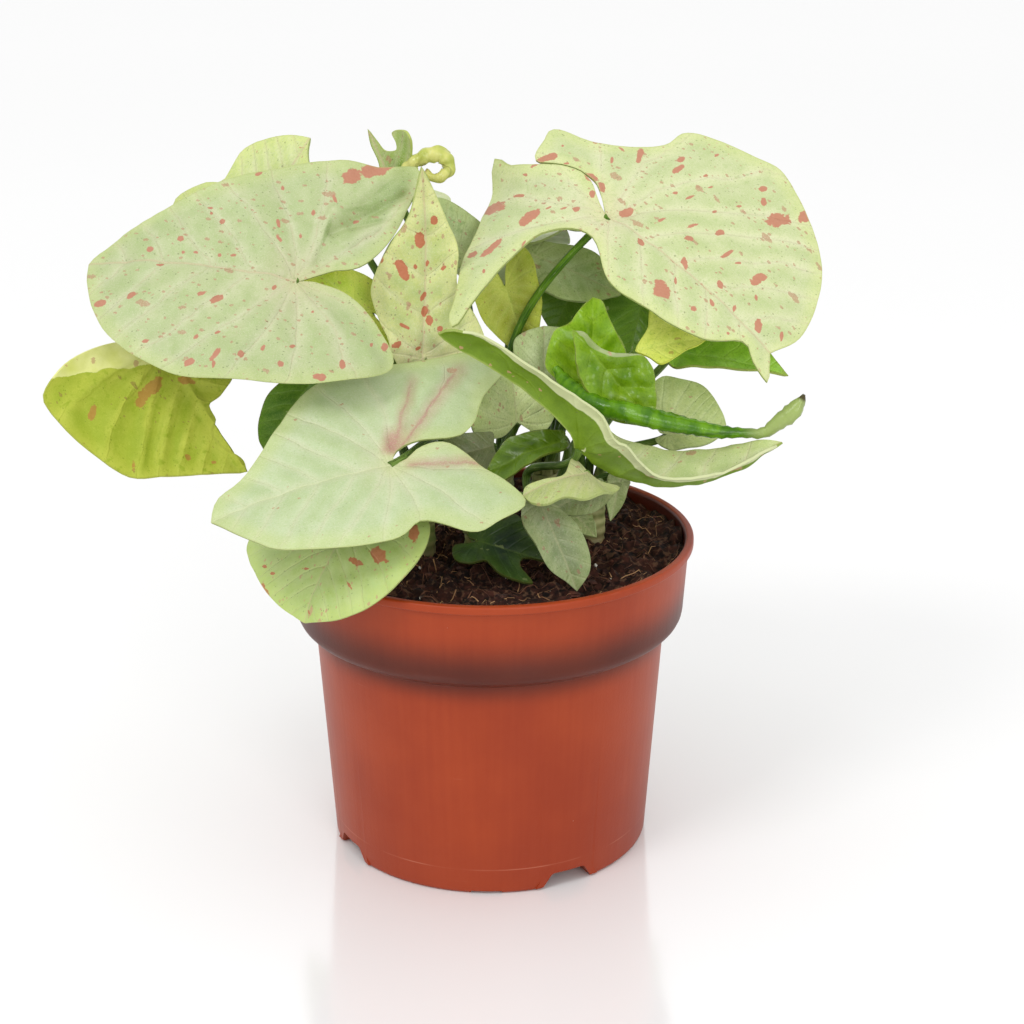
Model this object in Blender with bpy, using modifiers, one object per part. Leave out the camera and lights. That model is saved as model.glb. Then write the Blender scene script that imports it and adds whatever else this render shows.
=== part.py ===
"""A syngonium in a plastic nursery pot: pot, potting soil, short stems, and leaves on stalks.

Sizes and places are in millimetres, and MM turns them into metres when a mesh is made. The
origin is on the pot's axis at ground level, +Z is up, and the front of the plant faces -Y.
"""
import math

import bmesh
import bpy
import numpy as np
from mathutils import Vector
from mathutils.geometry import delaunay_2d_cdt

MM = 0.001
TOUCH_GAP = 0.3

# Pot: rim, upper band, rounded shoulder and tapered body of one thin moulding
POT_HEIGHT = 94.5
LIP_RADIUS = 60.0
LIP_HEIGHT = 2.4
LIP_ROUND = 0.7
BAND_TOP_RADIUS = 58.6
BAND_FOOT_RADIUS = 57.1
SHOULDER_Z = 71.0
SHOULDER_ROUND = 3.2
STEP_Z = 67.4
BODY_TOP_RADIUS = 51.8
FOOT_RADIUS = 47.3
FOOT_CHAMFER = 0.8
WALL = 1.3
FLOOR = 1.5
POT_SIDES = 60

# Drainage: four raised channels under the floor, each ending in a notch in the foot
CHANNEL_TURN = -61.6
CHANNEL_COUNT = 4
CHANNEL_START = 14.0
CHANNEL_WIDTH = 10.5
CHANNEL_HEIGHT = 4.8
NOTCH_WIDTH = 18.0
SLOT_TURN = -91.6
SLOT_WIDTH = 9.0
SLOT_HEIGHT = 0.9
SLOT_DEPTH = 4.0
DRAIN_RADIUS = 2.5
DRAIN_SIDES = 12
CUT_BELOW = 1.0
CUT_BEYOND = 5.0
DRAIN_PLACES = (22.0, 36.0)

# Soil: fills the pot to just under the lip
SOIL_TOP = 92.3
SOIL_LUMP = 0.7
SOIL_LEVEL_DROP = 1.0
SOIL_RINGS = (0, 0.2, 0.4, 0.6, 0.8, 0.95)
SOIL_SIDES = 40

# Stems: short stubs in the soil, each carrying the stalks of several leaves round its top
STEM_RADIUS = 4.4
STEM_FOOT_RADIUS = 3.4
STEM_DEPTH = 26.0
STEM_SIDES = 12
STALK_RING = 3.1

STEMS = {
    "left": (-20, -6, 104),
    "front": (-3, -11, 98),
    "front_right": (17, -12, 101),
    "right": (30, 5, 106),
    "centre": (3, 8, 110),
    "back_left": (-15, 23, 106),
    "back_right": (17, 26, 104),
}

# Colours
POT_COLOUR = (0.37, 0.075, 0.032)
SOIL_COLOUR = (0.035, 0.018, 0.01)
STEM_COLOUR = (0.35, 0.38, 0.16)

# Leaves
BLADE_THICKNESS = 0.8
STALK_FOOT_RADIUS = 1.35
STALK_TOP_RADIUS = 1.05
STALK_STEPS = 8
STALK_LEAN = 0.35
STALK_SINK = 0.2
STALK_UPRIGHT = 1.5
SINUS_DEPTH = 0.02
FAN_CENTRE = 0.05
MIDRIB_STEPS = 80
CURL_REACH = 3.0
LOBE_BEND_LENGTH = 0.5
LOBE_BLEND = 4.0

MINT = (0.55, 0.70, 0.38)
PALE = (0.62, 0.72, 0.36)
YELLOW = (0.42, 0.52, 0.05)
FRESH = (0.16, 0.42, 0.03)
DARK = (0.04, 0.16, 0.02)
SHADE = (0.24, 0.33, 0.16)

# Half an outline of a plain heart-shaped leaf, from the sinus round the lobe to near the tip:
# distance along the midrib in leaf lengths, distance from it in half widths
HEART = [
    (-0.02, 0.03), (-0.16, 0.10), (-0.38, 0.28), (-0.48, 0.55), (-0.36, 0.86), (-0.06, 1.00),
    (0.26, 0.93), (0.54, 0.68), (0.78, 0.36), (0.93, 0.11),
]
LANCE = [
    (-0.03, 0.06), (-0.12, 0.25), (-0.17, 0.58), (-0.05, 0.92), (0.18, 1.00), (0.42, 0.88),
    (0.66, 0.60), (0.84, 0.30), (0.95, 0.10),
]


def leaf(name, stem, at, tip, facing, half_widths, left=None, right=None, **form):
    """One leaf's sizes.

    at is where the stalk meets the blade, tip the blade's point, and facing the way its upper
    side looks. left and right are the half outlines as (along, away from the midrib), or a
    plain outline that the half widths scale. Angles are in degrees: droop is the midrib's
    whole bend, back the bend of the two lobes, fold the rise of each half at the midrib, and
    curl what its margin adds.
    """
    sizes = {
        "name": "leaf_" + name, "stem": stem, "at": at, "tip": tip, "facing": facing,
        "half_widths": half_widths, "left": left or HEART, "right": right or HEART,
        "droop": 20, "back": (20, 20), "fold": (8, 8), "curl": (0, 0),
        "wave": 0.6, "waves": 5, "segments": 8, "grain": 1.15, "neck": 22, "rise": 0.45,
        "bow": (0, 0, 0), "girth": 1, "arrive": None, "stalk_at": None, "roll": [], "colour": MINT,
    }
    sizes.update(form)
    return sizes


LEAVES = [
    leaf("big_left", "left", (-53, -20, 175), (-111, -9, 177), (-12, -70, 70), (33, 36),
         left=[(-6, -1), (-16, 1), (-26, 8), (-31, 18), (-11, 28), (20, 33), (35, 30), (48, 23), (56, 12)],
         right=[(-9, 5), (-18, 9), (-25, 22), (-28, 40), (-17, 38), (-4, 37), (17, 29), (38, 17), (56, 4)],
         droop=36, back=(14, -6), fold=(0, 6), curl=(-18, 6), wave=0.8, waves=6,
         segments=14),
    leaf("front_left", "left", (-27, -42, 129), (-75, -51, 116), (-10, -62, 78), (22, 27),
         left=[(-6, 0), (-17, -3), (-26, 6), (-36, 18), (-25, 22), (-17, 24), (-4, 19), (6, 23),
               (32, 18), (41, 12)],
         right=[(-5, 4), (-14, 6), (-21, 6), (-28, 11), (-33, 19), (-46, 32), (-40, 36), (-19, 33),
                (-1, 34), (10, 32), (19, 26), (37, 10), (47, 6)],
         droop=26, back=(10, 10), fold=(2, 6), curl=(-18, -10), segments=14),
    leaf("big_right", "centre", (34, 6, 187), (78, -20, 154), (15, -66, 74), (38, 34),
         left=[(-12, 8), (-23, 8), (-31, 7), (-34, 18), (-19, 22), (-6, 32), (-3, 40), (17, 46),
               (28, 47), (50, 35), (60, 22), (64, 10)],
         right=[(-12, -6), (-23, -6), (-32, -3), (-46, 0), (-33, 21), (-27, 33), (-19, 46), (-16, 53),
                (-12, 54), (-12, 44), (-11, 17), (1, 9), (15, 18), (27, 18), (45, 13), (54, 4), (60, 6),
                (67, 7), (64, 3)],
         droop=30, back=(4, 26), fold=(2, -2), curl=(-2, -8), arrive=(65, -25, 70), neck=40,
         segments=22, bow=(-6, 0, 0), colour=PALE),
    leaf("upright_middle", "left", (-19, -3, 148), (-18, -15, 205), (-10, -75, 60), (17, 17),
         left=[(-4, 5), (1, 9), (10, 12), (21, 15), (35, 11), (43, 5)],
         right=[(0, 9), (5, 17), (12, 15), (21, 9), (32, 9), (41, 6)],
         droop=-40, back=(10, 10), fold=(24, -18), curl=(-10, 0), segments=10, colour=YELLOW),
    leaf("far_left", "back_left", (-91, -6, 151), (-68, -22, 120), (-55, 60, 50), (36, 16),
         left=[(-9, 10), (-12, 25), (-8, 36), (-2, 38), (12, 35), (26, 29), (31, 20), (38, 6)],
         right=[(4, 9), (14, 13), (18, 7), (19, 2), (24, 1), (27, -2), (33, -1), (38, 1)],
         back=(30, 10), fold=(-4, 0), curl=(-10, 0), segments=10, colour=YELLOW),
    leaf("rim_left", "left", (-39, -40, 110), (-51, -52, 87), (-45, -60, 55), (26, 22),
         left=[(-9, 6), (-13, 13), (-11, 21), (-4, 25), (5, 25), (16, 20), (24, 12)],
         right=[(1, 17), (7, 30), (15, 31), (22, 21), (27, 11)],
         droop=30, back=(6, 6), fold=(0, 0), curl=(-15, -10), segments=10, colour=PALE),
    leaf("behind_left", "back_left", (-66, 14, 181), (-51, 24, 206), (-35, -60, 60), (20, 10),
         left=[(-4, 5), (-8, 19), (-3, 30), (6, 23), (9, 18), (20, 17), (28, 7)],
         right=[(1, 14), (7, 19), (17, 14), (25, 4)], colour=PALE),
    leaf("top_curl", "back_left", (-25, 12, 189), (-34, 16, 210), (-20, -70, 50), (6, 9),
         left=[(4, 3), (10, 2), (14, 1), (19, 1)],
         right=[(2, 6), (7, 9), (11, 9), (16, 12), (19, 12), (20, 9), (20, 6), (17, 6), (15, 5), (16, 2),
                (19, 1)],
         droop=-30, curl=(20, 30), segments=18, colour=FRESH, roll=[
             (-24, 14, 199, 1.2), (-21, 13, 201, 1.8), (-17, 13, 203, 2.2), (-13, 13, 203, 2.3),
             (-11, 13, 200, 2.0), (-12, 12, 198, 1.6), (-15, 11, 197, 1.4), (-18, 11, 199, 1.0)]),
    leaf("yellow_left", "back_left", (-34, 4, 160), (-57, 6, 176), (-10, -70, 60), (9, 8), colour=YELLOW),
    leaf("grey_middle", "centre", (-6, 24, 171), (-18, 26, 188), (10, -70, 60), (14, 14),
         left=[(0, 7), (6, 10), (14, 8)], right=[(-3, 5), (3, 9), (12, 7), (18, 4)], colour=SHADE),
    leaf("under_right", "back_right", (13, 26, 171), (39, 22, 160), (10, -70, 60), (12, 13),
         left=[(-3, 1), (-2, 4), (4, 6), (17, 8)], right=[(-2, 6), (5, 10), (13, 11), (21, 7)]),
    leaf("yellow_under", "centre", (5, 19, 163), (13, 12, 142), (-30, -60, 30), (11, 10),
         droop=30, colour=YELLOW),
    leaf("boat", "front_right", (25, -31, 130), (81, -24, 130), (0, -2, 100), (15, 9),
         left=[(-8, 3), (-20, 6), (-24, 12), (-12, 16), (6, 16), (26, 14), (46, 10), (58, 5)],
         right=[(-10, 3), (-30, 3), (-52, 2), (-46, 9), (-34, 11), (-16, 12), (0, 12), (14, 9), (26, 5),
                (40, 4), (52, 4), (60, 2)],
         droop=-92, back=(10, 6), fold=(22, 58), curl=(14, 10), arrive=(10, -50, 85), segments=14,
         bow=(-12, 24, 0)),
    leaf("young_front", "right", (24, -12, 158), (46, -16, 132), (10, -85, 40), (12, 9),
         left=[(2, 2), (6, 2), (11, 4), (17, 10), (22, 10), (27, 7), (31, 4)],
         right=[(3, 3), (7, 6), (13, 8), (22, 9), (26, 8), (31, 4)],
         droop=16, colour=FRESH, stalk_at=(33, -12, 136), arrive=(15, -5, 90), roll=[
             (19, -6, 146, 1.0), (22, -8, 141, 2.2), (26, -10, 138, 2.4), (30, -11, 136, 2.4),
             (33, -12, 135, 2.4), (36, -13, 136, 2.8), (42, -15, 134, 2.8), (49, -17, 133, 2.7),
             (57, -18, 132, 2.4), (64, -19, 131, 2.0), (71, -20, 131, 1.4), (77, -20, 131, 1.5),
             (81, -20, 134, 2.1), (85, -20, 137, 2.6), (87, -20, 140, 1.5), (88, -20, 142, 0.4)]),
    leaf("young_back", "right", (30, 0, 129), (30, 4, 164), (-10, -80, 40), (13, 11),
         left=[(1, 2), (6, 6), (12, 11), (16, 14), (22, 13), (26, 11), (28, 7), (32, 4)],
         right=[(3, 3), (8, 7), (14, 10), (20, 10), (24, 8), (29, 5), (34, 3)],
         droop=10, fold=(16, 16), bow=(-12, -6, 0), colour=FRESH),
    leaf("yellow_right", "right", (42, -3, 150), (63, 3, 152), (10, -70, 60), (12, 8),
         left=[(1, 2), (5, 6), (8, 12), (15, 9), (18, 5)],
         right=[(3, 3), (6, 6), (14, 3), (18, 2)], colour=YELLOW),
    leaf("dark_right", "right", (54, 14, 145), (87, 6, 140), (10, -60, 80), (7, 6),
         left=[(-2, 2), (4, 6), (16, 6), (25, 6), (30, 3)],
         right=[(-1, 5), (5, 8), (13, 5), (22, 3), (29, 1)], fold=(15, 15), colour=DARK),
    leaf("grey_right", "right", (52, 0, 124), (69, 0, 126), (20, -75, 60), (16, 6),
         left=[(-3, 2), (-5, 12), (0, 17), (5, 16), (12, 13), (16, 5)],
         right=[(-4, 1), (0, 5), (9, 5), (14, 3)], droop=10, colour=SHADE),
    leaf("spotted_middle", "centre", (16, 4, 138), (16, 10, 154), (0, -70, 60), (11, 11),
         left=[(0, 4), (5, 8), (12, 9), (15, 6)], right=[(-1, 4), (5, 9), (11, 10), (16, 7)],
         bow=(0, -3, 0), colour=SHADE),
    leaf("folded_middle", "front", (8, -2, 129), (6, 4, 147), (0, -75, 60), (13, 9),
         left=[(-4, 5), (-3, 12), (2, 14), (7, 12), (13, 7)],
         right=[(-4, 6), (0, 11), (6, 12), (12, 9), (17, 3)], fold=(14, 14)),
    leaf("grey_low", "front", (1, -13, 125), (-16, -19, 122), (-10, -70, 60), (7, 6),
         left=[(2, 7), (7, 8), (15, 7)], right=[(-1, 4), (5, 5), (12, 6)], colour=SHADE),
    leaf("green_bend", "front_right", (21, -19, 129), (-1, -25, 121), (-10, -70, 60), (6, 5),
         left=[(0, 3), (6, 3), (15, 4), (22, 5)], right=[(-1, 2), (3, 4), (11, 6), (16, 6)],
         colour=FRESH),
    leaf("pale_low", "front_right", (27, -32, 123), (9, -39, 119), (0, -40, 85), (9, 8),
         left=[(-2, 4), (-7, 7), (4, 12), (10, 8), (17, 9), (21, 6)],
         right=[(0, 2), (2, 6), (7, 1), (14, 2), (18, 2)],
         droop=40, arrive=(0, -90, 20), bow=(0, -12, 0), rise=0.15, colour=PALE),
    leaf("shade_low", "front_right", (32, -24, 117), (16, -30, 111), (0, -80, 40), (8, 6),
         left=[(-5, 2), (-1, 4), (5, 6), (11, 5), (16, 2)],
         right=[(0, 2), (6, 3), (13, 4), (17, 3)], colour=SHADE),
    leaf("hanging_front", "front", (14, -36, 116), (24, -47, 94), (10, -85, 35), (10, 7),
         left=[(0, 2), (5, 5), (11, 7), (18, 7), (23, 5)],
         right=[(-2, 2), (-1, 5), (4, 7), (10, 6), (18, 5), (23, 2)], fold=(6, 6), colour=SHADE),
    leaf("dark_low", "front", (-3, -24, 100), (16, -30, 96), (-10, -60, 70), (7, 5),
         left=[(-4, 1), (-3, 5), (4, 8), (8, 11), (16, 4)],
         right=[(-2, 1), (-7, 3), (-4, 8), (-1, 8), (4, 6), (10, 9), (19, 8), (14, 4), (14, 1)],
         droop=10, colour=DARK),
    leaf("small_right", "front_right", (24, -20, 107), (30, -26, 102), (10, -80, 50), (4, 4),
         left=LANCE, right=LANCE, droop=10, colour=SHADE),
    leaf("drop_right", "right", (38, -4, 112), (35, -10, 101), (30, -80, 40), (3, 4),
         left=LANCE, right=LANCE, droop=10, bow=(0, -6, 0), colour=SHADE),
    leaf("dark_left", "left", (-50, 2, 141), (-65, -6, 122), (-30, -70, 50), (8, 10),
         left=[(3, 6), (11, 9), (19, 8), (24, 4)], right=[(0, 5), (7, 7), (13, 8), (20, 6), (24, 3)],
         colour=DARK),
    leaf("dark_back_a", "back_right", (26, 36, 160), (19, 30, 146), (0, -80, 50), (14, 14), colour=DARK),
    leaf("dark_back_b", "back_right", (45, 28, 155), (41, 20, 140), (20, -80, 50), (13, 13),
         bow=(6, -12, 0), colour=DARK),
    leaf("rear_left", "back_left", (-46, 44, 184), (-92, 74, 150), (-25, 45, 85), (25, 27),
         droop=36, curl=(-12, -12), wave=1.5, segments=10, colour=PALE),
    leaf("rear_right", "back_right", (54, 48, 172), (94, 78, 138), (30, 45, 85), (25, 24),
         droop=36, curl=(-12, -12), wave=1.5, segments=10),
    leaf("rear_middle", "back_right", (1, 54, 168), (5, 99, 132), (0, 60, 80), (22, 24),
         droop=36, curl=(-12, -12), wave=1.5, segments=10, bow=(0, 6, 0), colour=PALE),
    leaf("rear_low_left", "back_left", (-34, 50, 128), (-66, 84, 98), (-30, 50, 80), (20, 19),
         droop=36, curl=(-12, -12), wave=1.5, segments=10, bow=(0, 6, 0), colour=PALE),
    leaf("rear_low_right", "back_right", (34, 54, 124), (60, 88, 96), (30, 50, 80), (18, 19),
         droop=36, curl=(-12, -12), wave=1.5, segments=10, bow=(0, 6, 0)),
]


# Leaf form

def unit(vector):
    vector = np.asarray(vector, dtype=float)
    return vector / np.linalg.norm(vector)


def running_sum(values, steps):
    """The trapezium sum of values over even steps, starting at nought."""
    middle = 0.5 * (values[1:] + values[:-1])
    return np.concatenate([[0.0], np.cumsum(middle * steps)])


def even_spline(points, count):
    """count + 1 points at even distances on a smooth curve through the given ones."""
    points = np.array(points, dtype=float)
    ends = [2 * points[0] - points[1]], [2 * points[-1] - points[-2]]
    knots = np.vstack([ends[0], points, ends[1]])
    fine = 12
    curve = []
    for a, b, c, d in zip(knots, knots[1:], knots[2:], knots[3:]):
        for t in np.linspace(0, 1, fine, endpoint=False):
            bend = (2 * a - 5 * b + 4 * c - d) * t * t + (3 * b - a - 3 * c + d) * t ** 3
            curve.append(0.5 * (2 * b + (c - a) * t + bend))
    curve.append(points[-1])
    curve = np.array(curve)
    run = np.concatenate([[0.0], np.cumsum(np.linalg.norm(np.diff(curve, axis=0), axis=1))])
    even = np.linspace(0, run[-1], count + 1)
    return np.stack([np.interp(even, run, curve[:, axis]) for axis in range(curve.shape[1])], axis=1)


class Blade:
    """The curved surface of one leaf, as a map from flat leaf places to places in the plant."""

    def __init__(self, sizes):
        self.sizes = sizes
        self.at = np.array(sizes["at"], dtype=float)
        chord = np.array(sizes["tip"], dtype=float) - self.at
        self.along = unit(chord)
        facing = np.array(sizes["facing"], dtype=float)
        self.up = unit(facing - (facing @ self.along) * self.along)
        self.across = np.cross(self.up, self.along)
        self.steps = np.linspace(0, 1, MIDRIB_STEPS + 1)
        angle = math.radians(sizes["droop"]) * (0.5 - self.steps)
        run = running_sum(np.cos(angle), 1 / MIDRIB_STEPS)
        lift = running_sum(np.sin(angle), 1 / MIDRIB_STEPS)
        self.length = np.linalg.norm(chord) / run[-1]
        self.angle = angle
        self.run = run * self.length
        self.lift = lift * self.length

    def half_outline(self, side):
        points = np.array(self.sizes[("left", "right")[side]], dtype=float)
        if points[:, 0].max() <= 1:
            points = points * (self.length, self.sizes["half_widths"][side])
        points = np.vstack([(-SINUS_DEPTH * self.length, 0), points, (self.length, 0)])
        points[:, 1] *= (1, -1)[side]
        return even_spline(points, self.sizes["segments"])

    def outline(self):
        left, right = self.half_outline(0), self.half_outline(1)
        return np.vstack([left, right[::-1][1:-1]])

    def place(self, flat):
        """Places in the plant of flat points, an array of (along, across)."""
        flat = np.asarray(flat, dtype=float)
        x, y = flat[:, 0], flat[:, 1]
        share = np.clip(x / self.length, 0, 1)
        run = np.interp(share, self.steps, self.run)
        lift = np.interp(share, self.steps, self.lift)
        angle = np.interp(share, self.steps, self.angle)
        behind = np.clip(-x / self.length, 0, None)
        start = self.angle[0]
        left_share = 0.5 + 0.5 * np.tanh(y / LOBE_BLEND)
        left_bend, right_bend = np.radians(self.sizes["back"]) / LOBE_BEND_LENGTH
        bends = right_bend + (left_bend - right_bend) * left_share
        bends = np.where(np.abs(bends) < 1e-3, 1e-3, bends)
        lobe_angle = start + bends * behind
        lobe = behind > 0
        run = np.where(lobe, -self.length * (np.sin(lobe_angle) - math.sin(start)) / bends, run)
        lift = np.where(lobe, self.length * (np.cos(lobe_angle) - math.cos(start)) / bends, lift)
        beyond = np.clip(x - self.length, 0, None)
        run = run + beyond * math.cos(self.angle[-1])
        lift = lift + beyond * math.sin(self.angle[-1])
        angle = np.where(lobe, lobe_angle, angle)
        aside, rise = self.cross_section(y)
        rise = rise + self.margin_wave(x, y)
        normal = np.outer(-np.sin(angle), self.along) + np.outer(np.cos(angle), self.up)
        midrib = self.at + np.outer(run, self.along) + np.outer(lift, self.up)
        return midrib + np.outer(aside, self.across) + rise[:, None] * normal

    def cross_section(self, y):
        """How far aside and how high the blade lies at a distance y from its midrib."""
        aside, rise = np.zeros_like(y), np.zeros_like(y)
        share = np.linspace(0, CURL_REACH, 151)
        for side, sign in ((0, 1), (1, -1)):
            width = self.sizes["half_widths"][side]
            slope = math.radians(self.sizes["fold"][side])
            slope = slope + math.radians(self.sizes["curl"][side]) * share ** 2
            step = width * share[1]
            here = y * sign >= 0
            part = np.abs(y) / width
            aside = np.where(here, sign * np.interp(part, share, running_sum(np.cos(slope), step)), aside)
            rise = np.where(here, np.interp(part, share, running_sum(np.sin(slope), step)), rise)
        return aside, rise

    def margin_wave(self, x, y):
        """A gentle wave that grows towards the margin."""
        turn = np.arctan2(y, x - FAN_CENTRE * self.length)
        width = np.where(y > 0, *self.sizes["half_widths"])
        reach = np.clip(np.hypot(x / self.length, y / width), 0, 1.2)
        return self.sizes["wave"] * np.sin(self.sizes["waves"] * turn) * reach ** 2

    def stalk_path(self, foot):
        """A smooth way up from the stem and over to the blade's underside."""
        start = self.angle[0]
        ahead = math.cos(start) * self.along + math.sin(start) * self.up
        normal = -math.sin(start) * self.along + math.cos(start) * self.up
        arrive = unit(self.sizes["arrive"] or normal * (1 - STALK_LEAN) + ahead * STALK_LEAN)
        foot = np.array(foot, dtype=float)
        end = self.at - normal * STALK_SINK
        if self.sizes["stalk_at"]:
            end = np.array(self.sizes["stalk_at"], dtype=float)
        span = np.linalg.norm(end - foot)
        start = foot + np.array([0, 0, STALK_UPRIGHT])
        first = start + np.array([0, 0, self.sizes["rise"] * span]) + self.sizes["bow"]
        second = end - arrive * min(self.sizes["neck"], 0.45 * span)
        t = np.linspace(0, 1, STALK_STEPS + 1)[:, None]
        curve = ((1 - t) ** 3 * start + 3 * (1 - t) ** 2 * t * first
                 + 3 * (1 - t) * t ** 2 * second + t ** 3 * end)
        return np.vstack([foot, curve])


def stalk_feet(leaves):
    """Where each leaf's stalk stands: in order of direction, evenly round its stem's top."""
    feet = {}
    for stem, (x, y, top) in STEMS.items():
        group = [sizes for sizes in leaves if sizes["stem"] == stem]
        turns = {s["name"]: math.atan2(s["at"][1] - y, s["at"][0] - x) for s in group}
        order = sorted(turns, key=turns.get)
        step = 2 * math.pi / len(order)
        shift = np.angle(sum(np.exp(1j * (turns[name] - i * step)) for i, name in enumerate(order)))
        for i, name in enumerate(order):
            turn = shift + i * step
            feet[name] = (x + STALK_RING * math.cos(turn), y + STALK_RING * math.sin(turn), top + TOUCH_GAP)
    return feet


# Small helpers

def plain_material(name, colour, roughness):
    """A material of one plain colour."""
    material = bpy.data.materials.new(name)
    material.use_nodes = True
    shader = material.node_tree.nodes["Principled BSDF"]
    shader.inputs["Base Color"].default_value = (*colour, 1)
    shader.inputs["Roughness"].default_value = roughness
    material.diffuse_color = (*colour, 1)
    return material


def new_object(name, mesh, collection):
    thing = bpy.data.objects.new(name, mesh)
    collection.objects.link(thing)
    return thing


def face_out(mesh):
    """Turn every face outwards."""
    shape = bmesh.new()
    shape.from_mesh(mesh)
    bmesh.ops.recalc_face_normals(shape, faces=shape.faces)
    shape.to_mesh(mesh)
    shape.free()


def apply_modifiers(thing):
    """Make the modified shape the object's own mesh."""
    graph = bpy.context.evaluated_depsgraph_get()
    mesh = bpy.data.meshes.new_from_object(thing.evaluated_get(graph))
    thing.modifiers.clear()
    thing.data = mesh
    mesh.name = thing.name
    return thing


def revolved(name, profile, sides, collection):
    """A solid of revolution from a half section given as (radius, height)."""
    mesh = bpy.data.meshes.new(name)
    points = [(radius * MM, 0, height * MM) for radius, height in profile]
    mesh.from_pydata(points, [(i, i + 1) for i in range(len(points) - 1)], [])
    thing = new_object(name, mesh, collection)
    screw = thing.modifiers.new("Turn", "SCREW")
    screw.steps = screw.render_steps = sides
    screw.use_merge_vertices = True
    screw.merge_threshold = 1e-6
    apply_modifiers(thing)
    face_out(thing.data)
    return thing


def tube(name, path, radii, roundness, collection):
    """A round stalk along a path, its ends closed."""
    curve = bpy.data.curves.new(name, "CURVE")
    curve.dimensions = "3D"
    curve.bevel_depth = MM
    curve.bevel_resolution = roundness
    curve.use_fill_caps = True
    spline = curve.splines.new("POLY")
    spline.points.add(len(path) - 1)
    for point, place, radius in zip(spline.points, path, radii):
        point.co = (*(np.asarray(place) * MM), 1)
        point.radius = radius
    thing = new_object(name, curve, collection)
    graph = bpy.context.evaluated_depsgraph_get()
    mesh = bpy.data.meshes.new_from_object(thing.evaluated_get(graph))
    bpy.data.objects.remove(thing)
    bpy.data.curves.remove(curve)
    shape = bmesh.new()
    shape.from_mesh(mesh)
    bmesh.ops.remove_doubles(shape, verts=shape.verts, dist=1e-6)
    bmesh.ops.recalc_face_normals(shape, faces=shape.faces)
    shape.to_mesh(mesh)
    shape.free()
    return new_object(name, mesh, collection)


def combine(thing, operation, others):
    """Join the others to an object, or cut them out of it, and drop them."""
    group = bpy.data.collections.new(thing.name + "_parts")
    for other in others:
        group.objects.link(other)
    boolean = thing.modifiers.new("Combine", "BOOLEAN")
    boolean.operation = operation
    boolean.solver = "EXACT"
    boolean.operand_type = "COLLECTION"
    boolean.collection = group
    apply_modifiers(thing)
    for other in others:
        bpy.data.objects.remove(other)
    bpy.data.collections.remove(group)
    return thing


# Pot and soil

def inner_wall(clearance):
    """The inside of the pot's wall from the lip down, as (radius, height)."""
    inset = WALL + clearance
    return [
        (BAND_TOP_RADIUS - inset, SOIL_TOP),
        (BAND_FOOT_RADIUS - inset, SHOULDER_Z + clearance),
        (BAND_FOOT_RADIUS - SHOULDER_ROUND * 0.6 - inset, SHOULDER_Z - SHOULDER_ROUND * 0.55 + clearance),
        (BODY_TOP_RADIUS - inset, STEP_Z + 0.2 + clearance),
        (FOOT_RADIUS - inset, FLOOR + clearance),
    ]


def pot_profile():
    """Half section: up the inside from the floor's centre, over the lip, down the outside."""
    inside = [(0, FLOOR)] + inner_wall(0)[::-1]
    lip_foot = POT_HEIGHT - LIP_HEIGHT
    lip = [
        (BAND_TOP_RADIUS - WALL, POT_HEIGHT - LIP_ROUND), (BAND_TOP_RADIUS - WALL + LIP_ROUND, POT_HEIGHT),
        (LIP_RADIUS - LIP_ROUND, POT_HEIGHT), (LIP_RADIUS, POT_HEIGHT - LIP_ROUND),
        (LIP_RADIUS, lip_foot + LIP_ROUND), (LIP_RADIUS - LIP_ROUND, lip_foot),
    ]
    outside = [
        (BAND_TOP_RADIUS, lip_foot), (BAND_FOOT_RADIUS, SHOULDER_Z),
        (BAND_FOOT_RADIUS - SHOULDER_ROUND * 0.25, SHOULDER_Z - SHOULDER_ROUND * 0.65),
        (BAND_FOOT_RADIUS - SHOULDER_ROUND * 0.8, STEP_Z + 0.2),
        (BODY_TOP_RADIUS, STEP_Z - 0.3), (FOOT_RADIUS, FOOT_CHAMFER),
        (FOOT_RADIUS - FOOT_CHAMFER, 0), (0, 0),
    ]
    return inside + lip + outside


def bar(name, turn, start, end, low, high, foot_width, top_width, collection):
    """A long block with sloped sides that runs outwards along one direction."""
    bpy.ops.mesh.primitive_cube_add(size=1)
    thing = bpy.context.object
    thing.name = thing.data.name = name
    for vertex in thing.data.vertices:
        width = top_width if vertex.co.z > 0 else foot_width
        along = end if vertex.co.x > 0 else start
        height = high if vertex.co.z > 0 else low
        aside = vertex.co.y * width
        c, s = math.cos(turn), math.sin(turn)
        vertex.co = ((along * c - aside * s) * MM, (along * s + aside * c) * MM, height * MM)
    for owner in thing.users_collection:
        owner.objects.unlink(thing)
    collection.objects.link(thing)
    return thing


def round_bar(name, centre, radius, low, high, sides, collection):
    """An upright cylinder, given by its ends' heights."""
    bpy.ops.mesh.primitive_cylinder_add(vertices=sides, radius=radius * MM, depth=(high - low) * MM)
    thing = bpy.context.object
    thing.name = thing.data.name = name
    for vertex in thing.data.vertices:
        vertex.co.x += centre[0] * MM
        vertex.co.y += centre[1] * MM
        vertex.co.z += (high + low) / 2 * MM
    for owner in thing.users_collection:
        owner.objects.unlink(thing)
    collection.objects.link(thing)
    return thing


def channel_turns():
    return [math.radians(CHANNEL_TURN + i * 360 / CHANNEL_COUNT) for i in range(CHANNEL_COUNT)]


def channel_roofs(clearance, collection):
    """The outsides of the four raised channels, as seen from inside the pot."""
    top = CHANNEL_HEIGHT + FLOOR + clearance
    foot = NOTCH_WIDTH + 2 * (WALL + clearance)
    crest = CHANNEL_WIDTH + 2 * (WALL + clearance)
    start = CHANNEL_START - WALL - clearance
    return [
        bar(f"roof_{i}", turn, start, FOOT_RADIUS - WALL / 2, FLOOR / 2, top, foot, crest, collection)
        for i, turn in enumerate(channel_turns())
    ]


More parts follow.
